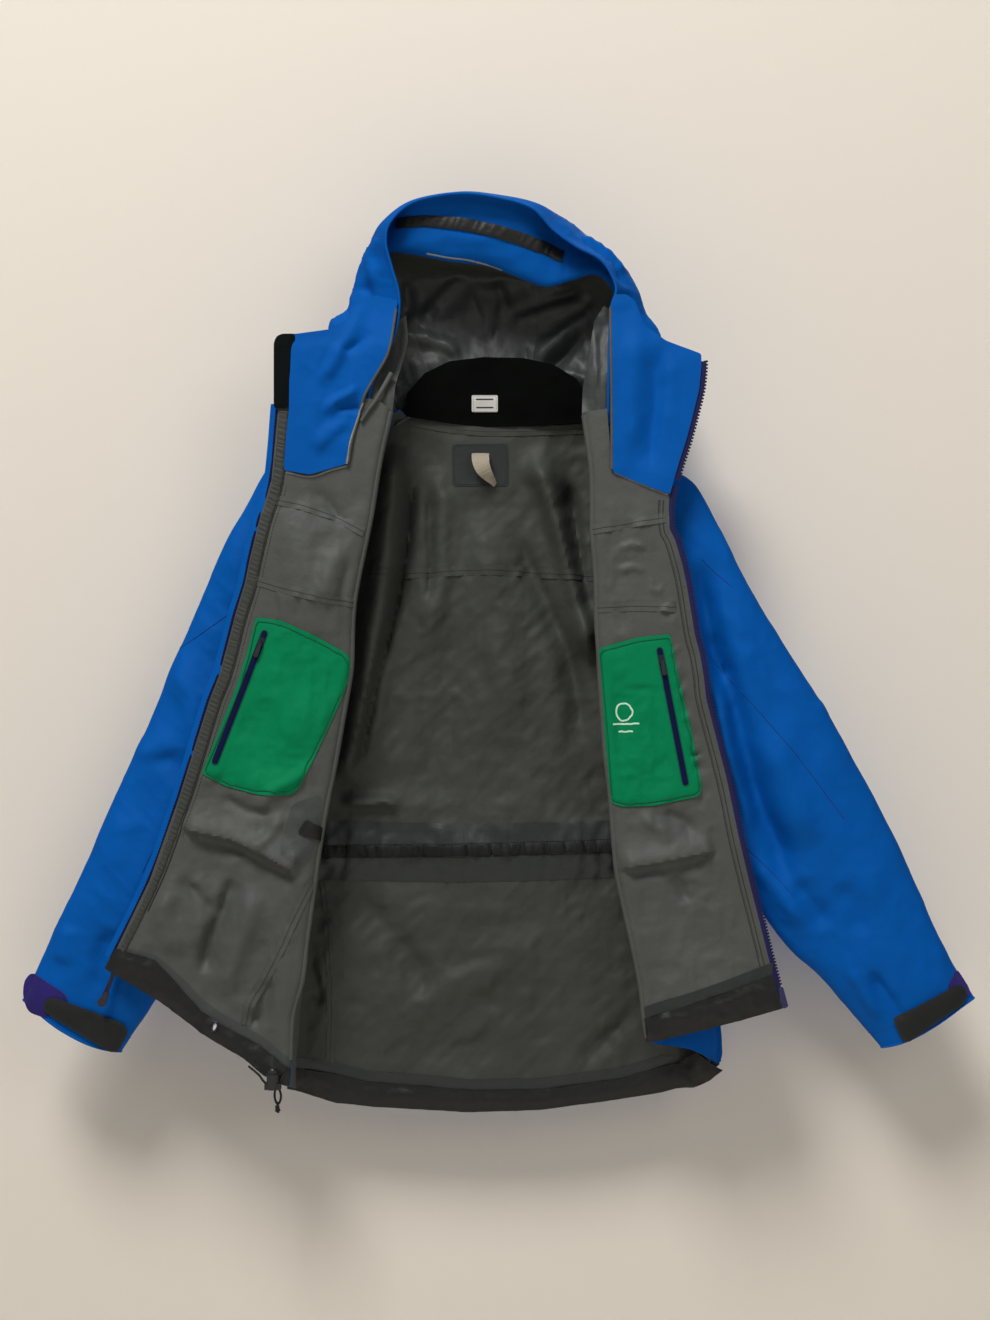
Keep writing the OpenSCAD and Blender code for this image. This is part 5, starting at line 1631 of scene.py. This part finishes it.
def sleeve_grid(side, seed, dip):
    """The sleeve's skin as rings down its length, and its outward normals.

    dip is how far the middle of the cuff edge drops below its two ends.
    """
    rows, around, middle_y = 260, 148, -20
    share = np.linspace(0, 1, rows)
    stations = smooth_line(SLEEVE_STATIONS[side], rows)
    angle = np.linspace(0, 2 * np.pi, around, endpoint=False)
    power = 2 / 2.35      # a slightly squared oval
    across = np.sign(np.cos(angle)) * np.abs(np.cos(angle)) ** power
    deep = np.sign(np.sin(angle)) * np.abs(np.sin(angle)) ** power
    outer, inner = stations[:, :2], stations[:, 2:4]
    centre, half = (outer + inner) / 2, (outer - inner) / 2
    grid = np.zeros((rows, around, 3))
    grid[..., [0, 2]] = centre[:, None] + half[:, None] * across[None, :, None]
    grid[..., 1] = middle_y + stations[:, 4:5] * deep

    down = unit(outer[-1] + inner[-1] - outer[-12] - inner[-12])
    drop = dip * (1 - across ** 2) + 1.4 * np.sin(3 * angle + 1)
    low = smooth((share - 0.93) / 0.07)[:, None] * drop[None, :]
    grid[..., [0, 2]] += low[..., None] * down

    normals = grid_normals(np.concatenate([grid[:, -1:], grid, grid[:, :1]], 1))[:, 1:-1]
    axis = np.c_[centre[:, 0], np.full(rows, middle_y), centre[:, 1]][:, None]
    if (normals * (grid - axis)).sum() < 0:
        normals = -normals

    x, y, z = np.moveaxis(grid, -1, 0)
    front = smooth((middle_y - y + 14) / 20)
    relief = (wrinkles(x, z, (74, 96), 10, seed, octaves=2) * front
              + wrinkles(x, z, (60, 80), 5.5, seed + 5) * (1 - front)
              + creases(x, z, (30, 34), 1.5, seed + 9)
              + creases(x + z, x - z, (30, 80), 1.6, seed + 13)
              + 1.5 * folds(x, z, SLEEVE_FOLDS[side]) * front
              + folds(x + 20, z - 30, SLEEVE_FOLDS[side]) * (1 - front))
    relief = relief * (0.35 + 0.65 * smooth(share / 0.05))[:, None]
    relief = relief * (0.3 + 0.7 * smooth((1 - share) / 0.10))[:, None]
    relief = relief * (0.35 + 0.65 * (1 - np.abs(across) ** 8))[None, :]
    return grid + normals * relief[..., None], normals


def elbow_frame(grid, row):
    """The elbow: a plane just below the shared row of both sheets, square to it."""
    ring = grid[row]
    reach = ring[np.argmax(ring[:, 0])] - ring[np.argmin(ring[:, 0])]
    down = arr([reach[2], 0, -reach[0]]) / math.hypot(reach[0], reach[2])
    if down @ (grid[-1].mean(0) - grid[0].mean(0)) < 0:
        down = -down
    centre = ring.mean(0)
    return centre + down * (((ring - centre) @ down).max() + 1.5), down


ELBOW_ROW = int(0.46 * 260)
SLEEVES = {"right": sleeve_grid("right", seed=121, dip=6.5),
           "left": sleeve_grid("left", seed=141, dip=2.5)}
ELBOWS = {side: elbow_frame(grid, ELBOW_ROW) for side, (grid, _) in SLEEVES.items()}


def on_upper_sleeve(side):
    shoulder = arr([SIDES[side] * 222, -20, -110])
    down = unit([SIDES[side] * 0.62, 0, -0.35])
    return lambda obj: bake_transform(obj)


def on_forearm(side):
    elbow, down = ELBOWS[side]
    return lambda obj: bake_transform(obj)


def near_face(side):
    """Points and normals of the half of the sleeve towards the viewer."""
    grid, normals = SLEEVES[side]
    span = slice(int(grid.shape[1] * 0.52), int(grid.shape[1] * 0.98))
    return grid[:, span].reshape(-1, 3), normals[:, span].reshape(-1, 3)


def sleeve_seam(name, side, place, path):
    points, normals = near_face(side)
    line, line_normals = [], []
    for x, z in smooth_line(path, max(6, int(length(path) / 3.0))):
        square = (points[:, 0] - x) ** 2 + (points[:, 2] - z) ** 2
        near = np.argsort(square)[:4]
        weight = 1 / (square[near] + 0.5)
        weight /= weight.sum()
        normal = unit((normals[near] * weight[:, None]).sum(0))
        line.append(arr([x, (points[near, 1] * weight).sum(), z]) + normal * 0.8)
        line_normals.append(normal)
    ribbon(name, line, line_normals, 1.1, 0.6, BLUE_THREAD, place(side), "shell_blue", **FINE)


def build_sleeves():
    for side, (grid, _) in SLEEVES.items():
        look = dict(wrap=True, flip=side == "left")
        sheet(side + "_upper_sleeve_sheet", grid[:ELBOW_ROW + 1], 1.4, LINED_OUT,
              on_upper_sleeve(side), "shell_blue", side + "_upper_sleeve", **look)
        sheet(side + "_forearm_sleeve_sheet", grid[ELBOW_ROW:], 1.4, LINED_OUT,
              on_forearm(side), "shell_blue", side + "_forearm_sleeve", **look)
    for name, side, place, path in (
            ("right_sleeve_seam", "right", on_upper_sleeve,
             [(-345, -210), (-318, -192), (-290, -172)]),
            ("left_sleeve_seam_upper", "left", on_upper_sleeve,
             [(246, -207), (270, -234), (299, -268)]),
            ("left_sleeve_seam", "left", on_forearm,
             [(299, -268), (330, -304), (357, -336), (384, -372), (406, -402)]),
            ("left_sleeve_seam_short", "left", on_upper_sleeve,
             [(247, -109), (262, -124), (280, -140)]),
            ("left_sleeve_seam_under", "left", on_forearm,
             [(292, -430), (325, -462), (352, -492)]),
            ("right_sleeve_seam_under", "right", on_forearm,
             [(-352, -400), (-370, -432), (-384, -462)])):
        sleeve_seam(name, side, place, path)
    for side, (grid, normals) in SLEEVES.items():
        rod(side + "_cuff_edge_roll", np.vstack([grid[-1], grid[-1, :3]]), 1.5, BLUE,
            on_forearm(side), sides=8)
        outward = np.vstack([normals[-9], normals[-9, :2]])
        stitches(side + "_cuff_stitch", np.vstack([grid[-9], grid[-9, :2]]) + outward * 0.9,
                 outward, BLUE_THREAD, on_forearm(side), "shell_blue")


def sleeve_surface(side, ribs=None):
    """The sleeve's near face as a surface, falling away beyond its silhouette."""
    points, _ = near_face(side)

    def surface(x, z):
        depth = np.zeros(len(x))
        for i in range(len(x)):
            square = (points[:, 0] - x[i]) ** 2 + (points[:, 2] - z[i]) ** 2
            near = np.argsort(square)[:6]
            weight = 1 / (square[near] + 2)
            depth[i] = ((points[near, 1] * weight).sum() / weight.sum()
                        + max(0, math.sqrt(square[near[0]]) - 3) * 0.5)
        return depth if ribs is None else depth - ribs(x, z)
    return surface


def grip_ribs(axis, mark, margin):
    """Five ribs across a tab, starting margin before the mark along the axis."""
    along = unit(axis)
    start = arr(mark) @ along - margin
    pitch, height = 3.4, 0.7
    span = 5 * pitch

    def ribs(x, z):
        run = x * along[0] + z * along[1] - start
        wave = 0.5 + 0.5 * np.cos(2 * np.pi * np.clip(run, 0, span) / pitch)
        return height * wave * ((run > 0) & (run < span))
    return ribs


def build_cuffs():
    for side, outline, radius in (
            ("right", [(-523, -588), (-514, -578), (-480, -596), (-470, -604), (-474, -617),
                       (-496, -628), (-516, -622), (-524, -606)], 6),
            ("left", [(524, -592), (538, -574), (552, -596), (552, -606), (530, -604)], 5)):
        plate(side + "_cuff_patch_hook", rounded(outline, radius), sleeve_surface(side),
              HOOK_TAPE, side + "_forearm", "grip_purple", side + "_cuff_patch", thickness=1.6,
              cell=2.2, lift=1.2, dome=0.6)
    for side, outline, ribs in (
            ("right", [(-493, -606), (-486, -604), (-408, -634), (-403, -644), (-416, -668),
                       (-424, -667), (-497, -620), (-498, -612)],
             grip_ribs(axis=(80, -32), mark=(-425, -650), margin=10)),
            ("left", [(462, -628), (536, -590), (545, -594), (548, -604), (540, -614),
                      (520, -626), (480, -655), (474, -654)],
             grip_ribs(axis=(-80, -38), mark=(480, -645), margin=6))):
        tab = side + "_cuff_tab"
        plate(tab + "_moulded", rounded(outline, 5), sleeve_surface(side, ribs), TAB, tab,
              "tab_black", tab, thickness=2.2, cell=2.2, lift=3.2, dome=1.0)


# ---------------------------------------------------------------- hardware and cords
HARDWARE = (   # material, bevel width, CAD nodes that keep their shape
    (PIN, 0.6, ("zip_retainer_box",)),
    (SLIDER, 0.3, ("main_zip_slider",)),
    (PULL, 0, ("main_zip_pull",)),
    (SLIDER, 0.2, ("right_pocket_slider", "right_chest_slider", "left_pocket_slider",
                   "left_chest_slider")),
    (PULL, 0.15, ("right_pocket_pull", "left_pocket_pull")),
    (NAVY, 0.2, ("right_chest_zip", "left_chest_zip")),
    (LOCK, 0.5, ("left_hem_cord_lock", "right_hem_cord_lock", "hood_cord_lock",
                 "left_hem_lock_button", "right_hem_lock_button", "hood_lock_button")),
)


def finish_hardware():
    for material, bevel, nodes in HARDWARE:
        for node in nodes:
            obj = NODES[node]
            obj.data.materials.clear()
            obj.data.materials.append(material)
            if bevel:
                modifier = obj.modifiers.new("edge", "BEVEL")
                modifier.width = bevel * MM
                modifier.segments = 2
                modifier.limit_method = "ANGLE"
                modifier.angle_limit = math.radians(40)


def cord(name, path, radius, body, material=CORD):
    rod(name, smooth_line(path, 60), radius, material, body)


def build_cords():
    cord("right_hem_cord_loop",
         [(-262, -70, -676), (-250, -77, -684), (-243, -79.5, -692), (-234, -80, -696.5),
          (-227, -79, -700), (-225, -78, -709), (-228.5, -77.5, -717), (-232, -77.8, -709),
          (-231, -78, -700), (-226, -76, -692), (-221, -70, -684)], 1.3, "right_front")
    cord("right_hem_cord_tail", [(-228.5, -77.5, -714), (-229, -78, -720), (-228, -78.5, -726)],
         np.repeat([1.2, 2.4, 3.0, 1.6], [20, 20, 12, 8]), "right_front")
    cord("left_hem_cord_loop",
         [(222, 3, -688), (238, -3, -684), (247, -4, -689), (255, -3, -689.5), (262, -4, -692),
          (264, -4, -700), (258, -4, -703), (254, -4, -696)], 1.3, "torso")
    cord("hood_cord_loop", [(-24, 47.5, 196), (-10, 49, 194.5), (6, 52, 193.5), (20, 49, 194),
                            (34, 47.5, 197)], 1.2, "hood")
    cord("hood_cord_tail", [(4, 52, 193), (3, 53, 184), (6, 53, 174), (9, 53, 184),
                            (8, 52, 192)], 1.2, "hood")
    cord("main_pull_cord", [(-414, -50.5, -566), (-419, -50.6, -580), (-424, -51.5, -592),
                            (-429, -51.4, -603)], np.linspace(1.0, 1.6, 60), "main_pull", PURPLE)


def corner_fold_y(x, z):
    return (-24 + 14 * smooth((x - 235) / 35) + wrinkles(x, z, (22, 22), 4, seed=151, octaves=2)
            - ridge(x, z, [(200, -655), (240, -660), (270, -680)], 7, 5, ends=0.3))


def build_corner_fold():
    """The corner of the left side panel that shows its outside below the left hem."""
    outline = [(188, -636), (235, -628), (268, -622), (272, -650), (273, -676), (268, -686),
               (258, -680), (243, -667), (222, -662), (200, -661), (188, -658)]
    plate("left_hem_corner_fold", rounded(outline, 5), corner_fold_y, BLUE, "torso",
          "shell_blue", thickness=1.6, cell=2.4)


# ---------------------------------------------------------------- stage, lights, camera (metres)
FLOOR_Z = -1.3


def stage_material(name, rgb, see_through):
    """Matt paint; see_through makes its back faces transparent."""
    material, tree, shader = new_material(name)
    set_inputs(tree, shader, {"Base Color": linear(rgb) + [1], "Roughness": 0.9,
                              "Specular IOR Level": 0.1})
    if see_through:
        geometry = add_node(tree, "ShaderNodeNewGeometry", {})
        clear = add_node(tree, "ShaderNodeBsdfTransparent", {})
        mix = add_node(tree, "ShaderNodeMixShader", {
            0: geometry.outputs["Backfacing"], 1: shader.outputs[0], 2: clear.outputs[0]})
        tree.links.new(mix.outputs[0], tree.nodes["Material Output"].inputs["Surface"])
    return material


def stage_quad(name, corners, material):
    mesh = bpy.data.meshes.new(name)
    mesh.from_pydata(corners, [], [(0, 1, 2, 3)])
    mesh.materials.append(material)
    obj = bpy.data.objects.new(name, mesh)
    bpy.context.scene.collection.objects.link(obj)
    obj.visible_shadow = False
    return obj


def area_light(name, location, target, size, watts):
    light = bpy.data.lights.new(name, "AREA")
    light.shape = "DISK"
    light.size = size
    light.energy = watts
    light.color = linear((255, 252, 248))
    obj = bpy.data.objects.new(name, light)
    bpy.context.scene.collection.objects.link(obj)
    obj.location = location
    aim = Vector(target) - Vector(location)
    obj.rotation_euler = aim.to_track_quat("-Z", "Y").to_euler()


def build_stage():
    wall = stage_quad("stage_wall", [(-3.2, 0.085, FLOOR_Z), (3.2, 0.085, FLOOR_Z),
                                     (3.2, 0.085, 2.6), (-3.2, 0.085, 2.6)],
                      stage_material("stage_wall_paint", (229, 223, 214), see_through=True))
    wall.visible_diffuse = False
    wall.visible_glossy = False
    stage_quad("stage_floor", [(-6, -6, FLOOR_Z), (6, -6, FLOOR_Z), (6, 6, FLOOR_Z),
                               (-6, 6, FLOOR_Z)],
               stage_material("stage_floor_paint", (224, 218, 208), see_through=False))
    area_light("key", location=(-1.1, -2.5, 3.4), target=(0, 0, -0.25), size=1.7, watts=182)
    area_light("fill", location=(1.5, -2.6, 1.0), target=(0, 0, -0.1), size=1.6, watts=11)
    area_light("back_soft", location=(0.6, 2.6, 1.6), target=(0, 0, -0.25), size=2.0, watts=40)

    scene = bpy.context.scene
    world = bpy.data.worlds.new("soft_room")
    scene.world = world
    world.use_nodes = True
    set_inputs(world.node_tree, world.node_tree.nodes["Background"],
               {"Color": linear((236, 235, 233)) + [1], "Strength": 0.215})

    camera = bpy.data.objects.new("camera", bpy.data.cameras.new("camera"))
    scene.collection.objects.link(camera)
    camera.location = (EYE_X * MM, -EYE_DISTANCE * MM, EYE_Z * MM)
    camera.rotation_euler = (math.radians(90), 0, 0)
    camera.data.sensor_width = 36
    camera.data.lens = 54.54
    scene.camera = camera
    scene.view_settings.view_transform = "Standard"


for build in (build_back, build_waist, build_back_hem, build_sides, build_neck,
              build_front_panels, build_right_edge, build_left_edge, build_front_hems,
              build_pockets, build_collars, build_neck_folds, build_hood, build_sleeves,
              build_cuffs, finish_hardware, build_cords, build_corner_fold, build_stage):
    build()
